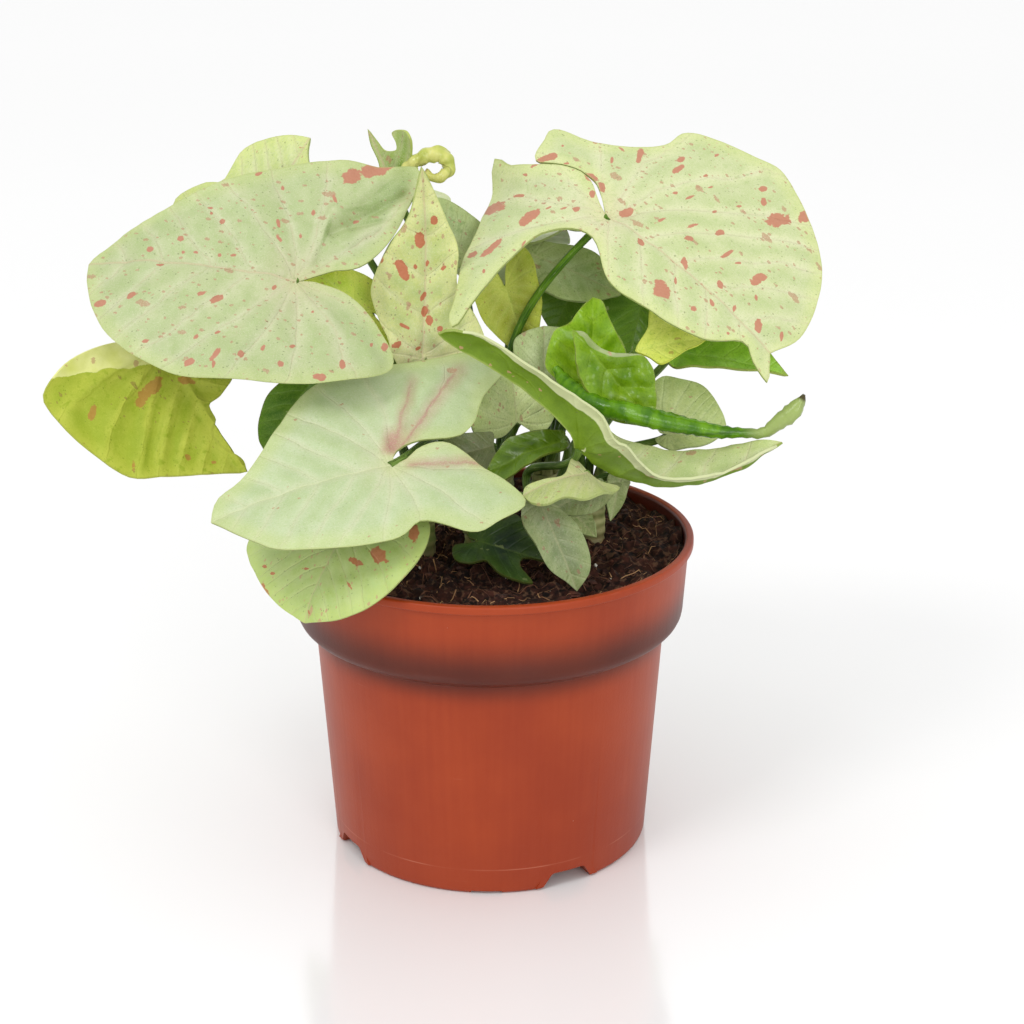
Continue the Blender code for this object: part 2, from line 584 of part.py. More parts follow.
def make_pot(collection, cutters, material):
    pot = revolved("pot", pot_profile(), POT_SIDES, collection)
    combine(pot, "UNION", channel_roofs(0, cutters))
    cuts = []
    for i, turn in enumerate(channel_turns()):
        cuts.append(bar(f"channel_{i}", turn, CHANNEL_START, FOOT_RADIUS + CUT_BEYOND, -CUT_BELOW,
                        CHANNEL_HEIGHT, NOTCH_WIDTH, CHANNEL_WIDTH, cutters))
        slot_turn = turn + math.radians(SLOT_TURN - CHANNEL_TURN)
        cuts.append(bar(f"slot_{i}", slot_turn, FOOT_RADIUS - SLOT_DEPTH, FOOT_RADIUS + CUT_BEYOND,
                        -CUT_BELOW, SLOT_HEIGHT, SLOT_WIDTH, SLOT_WIDTH, cutters))
        for j, reach in enumerate(DRAIN_PLACES):
            centre = (reach * math.cos(turn), reach * math.sin(turn))
            cuts.append(round_bar(f"drain_{i}_{j}", centre, DRAIN_RADIUS, FLOOR / 2,
                                  CHANNEL_HEIGHT + 2 * FLOOR, DRAIN_SIDES, cutters))
    combine(pot, "DIFFERENCE", cuts)
    pot.data.materials.append(material)
    return pot


def soil_surface(x, y):
    """How high the soil's top lies above its mean level."""
    coarse = math.sin(x / 7.3 + 0.6) * math.cos(y / 8.9 - 0.4)
    fine = math.sin(x / 3.1 + y / 4.3)
    return SOIL_LUMP * (0.65 * coarse + 0.35 * fine)


def make_soil(collection, cutters, material):
    wall = inner_wall(TOUCH_GAP)
    edge = wall[0][0]
    level = SOIL_TOP - SOIL_LEVEL_DROP
    rings = [(edge * share, level) for share in SOIL_RINGS]
    wall[0] = (edge, level)
    soil = revolved("soil", rings + wall + [(0, FLOOR + TOUCH_GAP)], SOIL_SIDES, collection)
    for vertex in soil.data.vertices:
        if vertex.co.z > (level - 1) * MM:
            vertex.co.z += soil_surface(vertex.co.x / MM, vertex.co.y / MM) * MM
    cuts = channel_roofs(TOUCH_GAP, cutters)
    for name, (x, y, top) in STEMS.items():
        cuts.append(round_bar("hole_" + name, (x, y), STEM_RADIUS + TOUCH_GAP,
                              SOIL_TOP - STEM_DEPTH - TOUCH_GAP, SOIL_TOP + CUT_BEYOND, STEM_SIDES,
                              cutters))
    combine(soil, "DIFFERENCE", cuts)
    soil.data.materials.append(material)
    return soil


def make_stem(name, collection, material):
    x, y, top = STEMS[name]
    low = SOIL_TOP - STEM_DEPTH
    joint = SOIL_TOP + 0.5 * (top - SOIL_TOP)
    profile = [
        (0, top), (STEM_RADIUS, top), (STEM_RADIUS, joint), (STEM_RADIUS - 0.5, joint - 1.5),
        (STEM_RADIUS - 0.5, SOIL_TOP), (STEM_FOOT_RADIUS, low), (0, low),
    ]
    stem = revolved("stem_" + name, profile, STEM_SIDES, collection)
    for vertex in stem.data.vertices:
        vertex.co.x += x * MM
        vertex.co.y += y * MM
    stem.data.materials.append(material)
    return stem


# Leaves

def inside(outline, points):
    """Which points lie inside a closed outline."""
    ahead = np.roll(outline, -1, axis=0)
    crossings = np.zeros(len(points), dtype=int)
    for (ax, ay), (bx, by) in zip(outline, ahead):
        spans = (ay > points[:, 1]) != (by > points[:, 1])
        with np.errstate(divide="ignore", invalid="ignore"):
            meets = (bx - ax) * (points[:, 1] - ay) / (by - ay) + ax
        crossings += spans & (points[:, 0] < meets)
    return crossings % 2 == 1


def inner_points(outline, spacing):
    """Rows of points on both sides of the midrib, clear of the outline."""
    low, high = outline.min(axis=0), outline.max(axis=0)
    row = spacing * 0.87
    points = []
    for j in range(int(low[1] / row) - 1, int(high[1] / row) + 2):
        if j == 0:
            continue
        for x in np.arange(low[0] - spacing, high[0] + spacing, spacing):
            points.append((x + 0.5 * spacing * (j % 2), j * row))
    points = np.array(points)
    points = points[inside(outline, points)]
    ahead = np.roll(outline, -1, axis=0)
    clear = []
    for point in points:
        edge = ahead - outline
        share = ((point - outline) * edge).sum(axis=1) / (edge ** 2).sum(axis=1)
        nearest = outline + np.clip(share, 0, 1)[:, None] * edge
        clear.append(np.linalg.norm(nearest - point, axis=1).min() > 0.45 * spacing)
    return points[np.array(clear, dtype=bool)]


def blade_sheet(name, blade):
    """The blade as an open sheet of triangles: its flat outline filled, then bent to its form."""
    outline = blade.outline()
    edge_length = np.linalg.norm(np.roll(outline, -1, axis=0) - outline, axis=1).mean()
    spacing = edge_length * blade.sizes["grain"]
    tip = blade.sizes["segments"]
    count = max(3, round(blade.length / spacing))
    midrib = [(x, 0) for x in np.linspace(0, blade.length, count + 1)[:-1]]
    flat = np.vstack([outline, midrib, inner_points(outline, spacing)])
    chain = [0] + [len(outline) + i for i in range(count)] + [tip]
    ribs = list(zip(chain, chain[1:]))
    rim = list(range(len(outline)))
    filled = delaunay_2d_cdt([Vector(point) for point in flat], ribs, [rim], 1, 1e-4)
    flat, faces = np.array([tuple(point) for point in filled[0]]), filled[2]
    mesh = bpy.data.meshes.new(name)
    mesh.from_pydata([tuple(place * MM) for place in blade.place(flat)], [], faces)
    return mesh


def make_leaf(sizes, foot, collection, cutters, material):
    """One leaf: a thin bent blade and its stalk, joined."""
    blade = Blade(sizes)
    leaf_object = new_object(sizes["name"], blade_sheet(sizes["name"], blade), collection)
    solid = leaf_object.modifiers.new("Thickness", "SOLIDIFY")
    solid.thickness = BLADE_THICKNESS * MM
    solid.offset = 0
    apply_modifiers(leaf_object)
    face_out(leaf_object.data)
    path = blade.stalk_path(foot)
    radii = np.linspace(STALK_FOOT_RADIUS, STALK_TOP_RADIUS, len(path)) * sizes["girth"]
    rods = [tube("stalk", path, radii, 1, cutters)]
    if sizes["roll"]:
        rods.append(tube("roll", [point[:3] for point in sizes["roll"]],
                         [point[3] for point in sizes["roll"]], 2, cutters))
    combine(leaf_object, "UNION", rods)
    leaf_object.data.materials.append(material)
    return leaf_object


def main():
    for thing in list(bpy.data.objects):
        bpy.data.objects.remove(thing, do_unlink=True)
    plant = bpy.data.collections.new("potted_syngonium")
    cutters = bpy.data.collections.new("cutters")
    bpy.context.scene.collection.children.link(plant)
    bpy.context.scene.collection.children.link(cutters)
    make_pot(plant, cutters, plain_material("pot", POT_COLOUR, 0.4))
    make_soil(plant, cutters, plain_material("soil", SOIL_COLOUR, 0.95))
    for name in STEMS:
        make_stem(name, plant, plain_material("stem_" + name, STEM_COLOUR, 0.5))
    feet = stalk_feet(LEAVES)
    for sizes in LEAVES:
        make_leaf(sizes, feet[sizes["name"]], plant, cutters,
                  plain_material(sizes["name"], sizes["colour"], 0.45))
    bpy.data.collections.remove(cutters)


main()
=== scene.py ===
"""A syngonium in a plastic nursery pot: the finish of its leaves, stalks, soil and pot.

Sizes and places are in millimetres, and MM turns them into metres when a mesh is made.
"""
import math

import bmesh
import bpy
import numpy as np
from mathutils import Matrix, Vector, noise
from mathutils.geometry import delaunay_2d_cdt


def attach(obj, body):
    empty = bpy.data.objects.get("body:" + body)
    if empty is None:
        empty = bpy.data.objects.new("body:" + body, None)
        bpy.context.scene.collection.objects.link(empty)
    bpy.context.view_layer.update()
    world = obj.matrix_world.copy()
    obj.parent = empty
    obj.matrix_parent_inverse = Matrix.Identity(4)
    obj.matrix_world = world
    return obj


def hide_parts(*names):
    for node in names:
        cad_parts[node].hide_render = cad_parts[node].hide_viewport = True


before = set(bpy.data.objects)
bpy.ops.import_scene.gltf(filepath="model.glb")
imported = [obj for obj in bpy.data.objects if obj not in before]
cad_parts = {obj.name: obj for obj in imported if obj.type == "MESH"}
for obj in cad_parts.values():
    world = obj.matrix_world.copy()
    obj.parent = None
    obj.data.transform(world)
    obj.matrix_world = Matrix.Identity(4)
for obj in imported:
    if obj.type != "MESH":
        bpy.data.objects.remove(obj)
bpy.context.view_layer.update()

MM = 0.001
TOUCH_GAP = 0.3

# Photograph: where the camera stands, what it looks at, and how long its lens is
CAMERA_PLACE = (0, -607.8, 319.3)
CAMERA_AIM = (6.6, 0, 100.3)
FOCAL_PIXELS = 2200
PHOTO_PIXELS = 1024
SENSOR_WIDTH = 36.0

# Pot
POT_HEIGHT = 94.5
LIP_RADIUS = 60.0
LIP_HEIGHT = 2.4
BAND_TOP_RADIUS = 58.6
BAND_FOOT_RADIUS = 57.1
SHOULDER_Z = 71.0
SHOULDER_ROUND = 3.2
STEP_Z = 67.4
BODY_TOP_RADIUS = 51.8
FOOT_RADIUS = 47.3
FOOT_CHAMFER = 0.8
WALL = 1.3
FLOOR = 1.5
POT_SIDES = 192
POT_SHARP_ANGLE = 32
ROUNDING_STEPS = 5
PARTING_LINE_Z = 8.0
POT_LIGHT = (176, 68, 26)
POT_DEEP = (160, 56, 20)
CHANNEL_TURN = -61.6
SLOT_TURN = -91.6
CHANNEL_COUNT = 4
CHANNEL_START = 14.0
CHANNEL_WIDTH = 10.5
CHANNEL_HEIGHT = 4.8
NOTCH_WIDTH = 18.0
SLOT_WIDTH = 9.0
SLOT_HEIGHT = 0.9
DRAIN_RADIUS = 2.5
DRAIN_PLACES = (22.0, 36.0)
DRAIN_SIDES = 32
CUT_BEYOND = 5
SLOT_REACH = 4

# Soil
SOIL_TOP = 92.3
SOIL_LEVEL = SOIL_TOP - 1
SOIL_LUMP = 0.7
SOIL_RADIUS = 57.0
SOIL_GRAIN = 1.0
SOIL_SIDES = 160
SOIL_CRUMB = 2.6
SOIL_HEAP = 1.5
FIBRE_COUNT = 260
PALE_FIBRE_COUNT = 110
FIBRE_RADIUS = 0.2
FIBRE_STEPS = 6
FIBRE_CLEARANCE = 1.5
CHIP_COUNT = 90
PERLITE_COUNT = 26
SCATTER_SEED = 11
SCATTER_SHARE = 0.97
SOIL_SHARP_ANGLE = 60

# Stems
STEM_RADIUS = 4.4
STEM_FOOT_RADIUS = 3.4
STEM_DEPTH = 26.0
STEM_SIDES = 32
STEM_SHARP_ANGLE = 40
STALK_RING = 3.1
JOINT_GAP = 1.6
JOINT_DEPTH = 0.35
JOINT_SWELL = 0.315
STEMS = {
    "left": (-20, -6, 104),
    "front": (-3, -11, 98),
    "front_right": (17, -12, 101),
    "right": (30, 5, 106),
    "centre": (3, 8, 110),
    "back_left": (-15, 23, 106),
    "back_right": (17, 26, 104),
}

# Leaves
BLADE_GRID = 1.15
GRID_ROW_SHARE = 0.87
OUTLINE_FINENESS = 5
STALK_FOOT_RADIUS = 1.35
STALK_TOP_RADIUS = 1.05
STALK_STEPS = 26
STALK_SIDES = 14
STALK_LEAN = 0.35
STALK_SINK = 0.2
STALK_UPRIGHT = 1.5
SINUS_DEPTH = 0.02
FAN_CENTRE = 0.05
MIDRIB_STEPS = 80
SPLINE_STEPS = 12
SLOPE_STEP = 0.2
CURL_REACH = 3.0
CURL_STEPS = 150
LOBE_BEND_LENGTH = 0.5
LOBE_BLEND = 4.0
SHOWN_THICKNESS = 0.7
TURNED_WIDTH = 3.0
SHEATH_SWELL = 0.35
SHEATH_SHARE = 0.16
NECK_SWELL = 0.15
ROLL_STEPS = 60
ROLL_SIDES = 24
WINDING_STEP = 0.45
ROLL_TURNS = 1.2
CREASE_DEPTH = 0.2
VEIN_SLANT = 0.75
VEIN_BEND = 0.5
VEIN_FAN = 0.5
VEIN_COUNT = 5
GROOVE_WIDTH = 1.1
BROAD_CRUMPLE = 12
FINE_CRUMPLE = 3.5
SEED_SPREAD = 37.0
LEAF_SHARP_ANGLE = 50

# Light and floor
SKY_STRENGTH = 1.02
LIGHT_AIM = (0, 0, 0.12)
SOFT_LIGHTS = [
    ("key", (-0.7, -0.8, 1.3), 0.5, 7.0),
    ("front", (0.5, -1.4, 0.7), 0.6, 6.0),
]
FLOOR_SHINE = 2.4
FLOOR_SIZE = 6
FLOOR_COLOUR = (0.86, 0.86, 0.86, 1)
LIGHT_SHARE = 0.76
BRIGHTEST = 0.95

# Half an outline of a plain heart-shaped leaf, from the sinus round the lobe to near the tip:
# distance along the midrib in leaf lengths, distance from it in half widths
HEART = [
    (-0.02, 0.03), (-0.16, 0.10), (-0.38, 0.28), (-0.48, 0.55), (-0.36, 0.86), (-0.06, 1.00),
    (0.26, 0.93), (0.54, 0.68), (0.78, 0.36), (0.93, 0.11),
]
LANCE = [
    (-0.03, 0.06), (-0.12, 0.25), (-0.17, 0.58), (-0.05, 0.92), (0.18, 1.00), (0.42, 0.88),
    (0.66, 0.60), (0.84, 0.30), (0.95, 0.10),
]


# What each leaf looks like: colours as seen on a screen, from 0 to 255. upper and lower hold each
# side's two ground colours. A splash or a shade is an oval: its place on the flat leaf, half its
# length, half its width, and its turn in degrees; a shade is painted shade, a darker patch laid in
# shade_colour on one side. A crease is a line with its height and half its width. A streak runs
# out from the stalk: its turn, start, end, half width and strength. A flap is the slope and the
# place of a line behind which the other side shows. A rolled rim is the half it lies on, its width,
# how far out it starts behind the stalk, and where along the leaf it starts, is full and ends.
# turned_edge is how far each half's margin bends down. light is painted light and shade: a gain on
# all of a leaf's colours, above one for leaves that hang in shade and for thin leaves that light
# shines through, below one where a leaf is made darker. turned_light is the same painted light on
# the part where the other side shows.

PALE_LEAF = {
    "upper": ((224, 228, 182), (190, 206, 146)), "lower": ((176, 192, 120), (140, 162, 84)),
    "deep_colour": (176, 198, 128), "quilt_shade": 0.5, "glow_colour": (230, 228, 194), "vein_glow": 0.3,
    "edge_colour": (206, 220, 138), "edge_band": 0.5, "veins": 0.22, "midrib": 0.5,
    "vein_colour": (212, 186, 150), "heart": 0.3, "heart_colour": (222, 206, 172), "streaks": [],
    "streak_colour": (190, 126, 122), "flecks": 0.3, "fleck_colour": (172, 196, 120), "specks": 0.2,
    "speck_colour": (190, 146, 112), "dark_dots": 0, "dot_colour": (96, 104, 56), "pepper": 0.5,
    "grain": 0.3, "powder": 0.3, "bands": 0.5, "relief": 0.5, "wrinkle": 0.35, "shades": [],
    "shade_colour": (140, 164, 92), "shade_above": True, "light": 1, "patch_below": 0.45, "splashes": [],
    "patch_colour": (208, 148, 118), "patch_deep_colour": (194, 128, 98), "rim": 0.4,
    "rim_colour": (184, 194, 112), "roughness": 0.4, "shine": 0.4, "quilt": 0.5,
    "groove": 0.4, "crumple": 0.7, "creases": [], "turned_edge": (0, 0), "flap": (0, 0),
    "rolled_rim": (1, 0, 0, 0, 1, 99), "turned_light": 1, "turned_wave": 1.2,
    "turned_colour": (222, 226, 166), "turned_speck_colour": (196, 140, 110), "mesh_scale": 1,
    "roll_colours": ((112, 164, 22), (70, 122, 10), (178, 194, 116), (74, 66, 28)),
    "stalk": ((116, 146, 60), (70, 104, 30)),
}
YELLOW_LEAF = {
    "upper": ((188, 196, 74), (146, 166, 40)), "lower": ((190, 198, 72), (158, 176, 44)),
    "deep_colour": (140, 166, 36), "glow_colour": (200, 208, 110), "edge_colour": (204, 214, 90),
    "vein_colour": (176, 190, 92), "speck_colour": (150, 130, 60), "fleck_colour": (130, 160, 36),
    "heart_colour": (200, 204, 110), "patch_colour": (176, 134, 62), "patch_deep_colour": (152, 112, 50),
    "rim_colour": (160, 166, 60), "specks": 0.15, "quilt_shade": 0.6, "shine": 0.25, "light": 1.2,
}
FRESH_LEAF = {
    "upper": ((144, 180, 34), (96, 140, 10)), "lower": ((124, 158, 34), (84, 122, 12)),
    "deep_colour": (78, 124, 6), "glow_colour": (156, 192, 52), "vein_glow": 0.25,
    "vein_colour": (150, 184, 60), "veins": 0.12, "midrib": 0.3, "specks": 0, "pepper": 0, "flecks": 0.1,
    "fleck_colour": (150, 188, 60), "edge_colour": (140, 180, 50), "heart": 0, "rim_colour": (150, 160, 70),
    "roughness": 0.16, "shine": 0.25, "quilt": 1.1, "groove": 0.5, "crumple": 1.5, "wrinkle": 0.7,
    "powder": 0, "relief": 0.3, "light": 1,
}
DARK_LEAF = {
    "upper": ((104, 142, 38), (60, 102, 20)), "lower": ((110, 136, 62), (76, 108, 36)),
    "deep_colour": (52, 92, 16), "glow_colour": (130, 164, 64), "vein_colour": (140, 170, 80),
    "specks": 0.06, "speck_colour": (160, 176, 110), "pepper": 0, "flecks": 0.2,
    "fleck_colour": (130, 156, 70), "edge_colour": (110, 150, 40), "heart": 0, "rim_colour": (120, 110, 50),
    "roughness": 0.3, "shine": 0.25, "veins": 0.1, "midrib": 0.3, "light": 1.3,
}
GREY_LEAF = {
    "upper": ((178, 194, 134), (134, 158, 90)), "lower": ((140, 156, 92), (100, 122, 58)),
    "deep_colour": (120, 148, 74), "glow_colour": (194, 206, 154), "vein_colour": (180, 180, 130),
    "specks": 0.2, "speck_colour": (164, 124, 92), "flecks": 0.5, "fleck_colour": (110, 142, 66),
    "edge_colour": (170, 186, 110), "heart": 0.1, "rim_colour": (150, 164, 104), "light": 1.3,
}
LOOKS = {
    "big_left": {
        "upper": ((212, 218, 170), (184, 200, 142)), "specks": 0.34, "dark_dots": 0.3, "mesh_scale": 0.55,
        "crumple": 1.1, "light": 0.92, "shades": [(-21, -30, 13, 4, 50), (-24, -38, 6, 5, 80),
        (-15, -26, 10, 1, 29), (-17.3, -22.4, 6, 0.8, 24), (-5.5, -16, 7, 0.8, 83), (-20, -34, 8, 1, 50)],
        "creases": [(-7, -16, -25, -32, -1.7, 1.5), (-12, -14, -26, -27, 1.2, 1.6),
        (-8, -22, -21, -40, 1.4, 2.2), (-12, -19, -24, -25, -1, 1), (-3, -7, -6, -22, 0.9, 1.4),
        (0, -4, -9, -30, 0.6, 2), (0, 3, 14, 26, 0.9, 2.2), (2, 2, 24, 16, -0.7, 3),
        (-2, 4, -26, 18, 0.8, 2.4), (-1, 4, -10, 30, -0.7, 3), (4, -3, 22, -24, 0.7, 2.2)],
        "splashes": [(-9.5, -33.5, 3.5, 2, 35), (-15, -36.5, 4.5, 2, 25), (-20, -40, 3.5, 1, 40),
        (15.5, -29, 1.5, 0.5, 40), (8.5, -26.5, 1, 0.5, 100), (26.5, -17, 1, 0.5, 5),
        (26, -15.5, 0.5, 0.5, 100), (22.5, -13.5, 1, 1, 5), (41, -3.5, 1, 1, 0), (33, -7, 1, 1, 5),
        (31.5, -3, 0.5, 0.5, 5), (28, -3.5, 1, 0.5, 5), (37.5, 1, 1.5, 0.5, 15), (21.5, -3.5, 0.5, 0.5, 10),
        (18, -4, 1, 0.5, 10), (7.5, -15, 1.5, 0.5, 110), (6.5, -11, 1.5, 0.5, 140), (1, -13, 1, 0.5, 100),
        (-1, -20.5, 1, 0.5, 100), (-6, -25.5, 1.5, 0.5, 120), (-13, -21.5, 1, 0.5, 25),
        (52, 13.5, 2, 1, 10), (43.5, 11, 1.5, 1, 60), (24, 9, 1.5, 0.5, 30), (19.5, 9.5, 2.5, 1, 40),
        (5, 3.5, 1, 0.5, 65), (23, 21.5, 1, 0.5, 60), (17.5, 19.5, 1, 0.5, 40), (37, 24, 1, 0.5, 15),
        (23.5, 29, 1.5, 1, 20), (16.5, 26.5, 2, 1, 60), (16.5, 29, 1, 0.5, 70), (10, 25, 1, 1, 60),
        (4.5, 22, 1, 0.5, 75), (-1, 25, 1, 1, 100), (-6.5, 8.5, 0.5, 0.5, 15), (-3, 19.5, 1, 0.5, 35),
        (-17.5, 21, 1.5, 1, 100), (-12, 26, 2, 1, 5), (-28, 12, 1.5, 1, 75), (-24, 13, 1, 0.5, 75)]},
    "front_left": {
        "upper": ((208, 222, 178), (186, 206, 152)), "quilt_shade": 0.3, "light": 0.97, "specks": 0.04,
        "pepper": 0.2, "flecks": 0.15, "veins": 0.2, "midrib": 0.3, "vein_colour": (226, 232, 180),
        "heart": 0.2, "mesh_scale": 0.7, "creases": [(-3, -6, -26, -27, -0.9, 2.2),
        (-2, -9, -15, -25, -0.6, 1.8), (-6, -12, -34, -36, 0.8, 4), (-4, 0, -30, 6, -0.7, 2.2),
        (6, -4, 34, -22, 0.5, 2.5)], "streaks": [(-135, 3, 46, 4, 0.4), (-134, 4, 42, 0.9, 0.6),
        (-118, 5, 34, 3, 0.4), (-117, 8, 30, 0.8, 0.5), (-108, 3, 14, 4, 0.8), (174, 4, 36, 3, 0.45),
        (173, 5, 34, 0.8, 0.5)]},
    "big_right": {
        "upper": ((228, 232, 184), (208, 218, 158)), "specks": 0.36, "mesh_scale": 0.55, "rim": 0.5,
        "edge_colour": (222, 232, 150), "stalk": ((104, 146, 22), (56, 98, 8)),
        "creases": [(2, 2, 20, 38, -0.8, 3), (0, 3, -20, 10, 0.6, 2), (6, -2, 30, -14, 0.7, 3),
        (-2, -3, -26, -22, -0.6, 2.5)], "splashes": [(-29, 8, 3, 1.5, 45), (-31, 4.5, 2, 1, 75),
        (-23, 8.5, 1, 0.5, 35), (-35.5, -11.5, 4.5, 3.5, 135), (-32, 0.5, 1, 0.5, 10),
        (-30.5, -5, 2, 0.5, 15), (-19.5, -12.5, 4.5, 2, 80), (-20.5, -27.5, 4.5, 1.5, 90),
        (-24.5, -32, 1.5, 1.5, 135), (-16, -36, 1, 0.5, 125), (-12.5, -5, 1.5, 0.5, 60),
        (-9, -3.5, 1, 1, 30), (-16.5, -7, 1, 0.5, 70), (-13.5, 8.5, 2.5, 1.5, 180), (-9, 7.5, 2.5, 1, 145),
        (-9, 3.5, 1.5, 1, 130), (-12.5, -22.5, 2, 0.5, 110), (2.5, 5, 2.5, 1.5, 65), (-22.5, 21, 1, 1, 130),
        (-29, 13.5, 0.5, 0.5, 35), (-14.5, 23, 1.5, 0.5, 170), (-8.5, 24, 3.5, 1, 120),
        (-13.5, 17.5, 1.5, 0.5, 130), (2, 30, 1.5, 1, 95), (4, 26.5, 2.5, 1, 85), (8.5, 38, 1, 0.5, 80),
        (11, 30, 1, 0.5, 70), (14.5, 28, 1.5, 0.5, 70), (25.5, 38.5, 1.5, 1, 60), (28.5, 35, 1.5, 1, 130),
        (35, 33, 4.5, 2.5, 60), (39.5, 40.5, 2.5, 2, 80), (8.5, 19.5, 1, 0.5, 60), (12.5, 21, 1.5, 0.5, 70),
        (24.5, 28.5, 1, 0.5, 50), (21, 21.5, 1, 0.5, 80), (12.5, 8, 2, 0.5, 75), (20, 13, 2, 0.5, 70),
        (27, 17, 1.5, 1, 70), (22, 8.5, 1.5, 1, 45), (13, -1.5, 1.5, 1, 155), (33, 13, 3, 0.5, 80),
        (37, 13, 1, 0.5, 50), (44, 14, 3, 1.5, 70), (27, 1.5, 2, 1, 150), (28, -10, 3.5, 2.5, 130),
        (28.5, -4.5, 1.5, 0.5, 130), (38, 3.5, 1.5, 1, 160), (40.5, -2.5, 1.5, 0.5, 150),
        (38, -8, 1, 1, 50), (45.5, 1.5, 1, 0.5, 130), (53.5, 3, 2.5, 1, 130), (47.5, 8.5, 1, 0.5, 130),
        (49.5, -5.5, 0.5, 0.5, 50), (60, 6, 2, 0.5, 130)]},
    "upright_middle": {
        "upper": ((224, 228, 156), (196, 206, 112)), "specks": 0.4, "mesh_scale": 0.6,
        "edge_colour": (232, 234, 160), "shades": [(20, -9, 18, 4, 10), (2, -4, 10, 3, 30)],
        "shade_colour": (150, 170, 84), "veins": 0.1,
        "creases": [(4, 9, 40, 12, 0.9, 2), (2, 0, 50, 0, -0.5, 1.5)], "light": 1.12, "edge_band": 0.8,
        "patch_colour": (206, 132, 94), "patch_deep_colour": (188, 108, 74),
        "splashes": [(35.5, 1.5, 3, 1.5, 15), (27, 7, 4, 1.5, 25), (31, 12.5, 1.5, 0.5, 180),
        (18, 0.5, 1.5, 1, 150), (13.5, 0, 2, 1, 160), (9.5, 6, 2, 0.5, 60), (4, 8, 1.5, 1, 100),
        (27.5, 3, 1, 0.5, 10), (28, -0.5, 1, 0.5, 170), (41.5, -2.5, 1.5, 1, 180), (26.5, -5, 1, 0.5, 140),
        (11, -1.5, 1.5, 1, 165), (9, -4.5, 1, 1, 140), (3, 1.5, 1, 0.5, 110)]},
    "far_left": YELLOW_LEAF | {
        "quilt": 1.7, "flap": (0.4, 3.2), "mesh_scale": 0.7, "dark_dots": 0.6, "dot_colour": (110, 130, 20),
        "flecks": 1, "specks": 0.1, "edge_band": 0.8, "light": 1.08, "bands": 2, "patch_below": 0.95,
        "patch_colour": (190, 150, 70), "patch_deep_colour": (172, 128, 52), "turned_light": 1.3,
        "turned_colour": (232, 230, 170), "turned_wave": 4, "quilt_shade": 0.8, "midrib": 0.8,
        "groove": 1.2, "vein_colour": (196, 206, 110), "splashes": [(7, 9.5, 4, 2, 70), (8, 13, 3, 2, 60),
        (4.5, 27.5, 2.5, 1, 50), (10, 0, 2.5, 1, 130), (24, 26, 2.5, 0.5, 30), (29, 11.5, 1, 1, 30),
        (34, 6, 1, 0.5, 120), (-11.5, 19, 2.5, 0.5, 70), (-8, 11, 1, 0.5, 30)]},
    "rim_left": {
        "upper": ((188, 202, 134), (156, 182, 82)), "specks": 0.4, "flecks": 0.4, "mesh_scale": 0.7,
        "light": 1.15, "glow_colour": (186, 202, 134), "veins": 0.15, "quilt": 0.3, "midrib": 0.3,
        "heart": 0, "edge_colour": (190, 210, 110), "patch_colour": (196, 134, 92),
        "patch_deep_colour": (170, 104, 66), "splashes": [(8, 8.5, 3, 1, 90), (4, 14.5, 3.5, 2, 70),
        (14.5, 10.5, 2, 0.5, 65), (15, -6, 1.5, 0.5, 110), (18.5, -19.5, 1, 0.5, 105),
        (19.5, -16, 1, 0.5, 105), (25, -16.5, 2.5, 1.5, 50), (-5.5, 20, 3, 1.5, 35),
        (25.5, 1, 1, 0.5, 60)]},
    "behind_left": {
        "upper": ((226, 234, 166), (204, 220, 130)), "specks": 0.1, "edge_colour": (220, 232, 130),
        "splashes": [(27, 0.5, 1, 0.5, 115)]},
    "top_curl": {
        "upper": ((160, 190, 50), (112, 154, 14)), "lower": ((190, 206, 100), (150, 180, 60)),
        "specks": 0.1, "roll_colours": ((228, 226, 134), (190, 200, 92), (216, 214, 120), (170, 160, 84))},
    "yellow_left": YELLOW_LEAF | {"upper": ((164, 184, 40), (130, 160, 16)), "light": 2.1},
    "grey_middle": GREY_LEAF,
    "under_right": GREY_LEAF,
    "yellow_under": YELLOW_LEAF | {"upper": ((138, 142, 16), (112, 118, 8)), "light": 1.5},
    "boat": {
        "upper": ((214, 222, 164), (188, 202, 132)), "lower": ((118, 148, 30), (90, 120, 12)),
        "specks": 0.1, "turned_edge": (0, 1.2), "rolled_rim": (-1, 2.8, 7, -52, -16, 99),
        "turned_colour": (214, 220, 170), "shades": [(26, -6, 26, 12, 0), (8, -6, 12, 8, 0)],
        "shade_above": False, "shade_colour": (112, 132, 72), "shine": 0.25, "roughness": 0.28,
        "crumple": 1.1, "wrinkle": 0.5, "light": 1.1, "mesh_scale": 0.7},
    "young_front": FRESH_LEAF | {
        "mesh_scale": 0.6, "crumple": 2, "rolled_rim": (1, 1.2, 0, -9, 0, 18),
        "turned_colour": (206, 214, 170)},
    "young_back": FRESH_LEAF | {"mesh_scale": 0.7, "light": 1.4},
    "yellow_right": YELLOW_LEAF | {
        "upper": ((208, 212, 116), (160, 176, 36)), "edge_band": 0.2, "veins": 0.05, "midrib": 0.1,
        "specks": 0.05, "powder": 0.1, "light": 1.9},
    "dark_right": DARK_LEAF | {"upper": ((120, 160, 40), (84, 128, 22)), "light": 2.3},
    "grey_right": GREY_LEAF | {
        "upper": ((182, 194, 122), (146, 166, 84)), "veins": 0.1, "specks": 0.06, "flecks": 0.25,
        "light": 1.35},
    "spotted_middle": GREY_LEAF | {
        "upper": ((196, 208, 152), (160, 180, 116)), "specks": 0.5, "flecks": 0.2},
    "folded_middle": GREY_LEAF | {
        "upper": ((196, 206, 140), (156, 170, 104)), "specks": 0.5, "flecks": 0.2, "light": 1.7},
    "grey_low": GREY_LEAF | {"upper": ((112, 120, 60), (72, 80, 32)), "light": 0.7},
    "green_bend": FRESH_LEAF | {
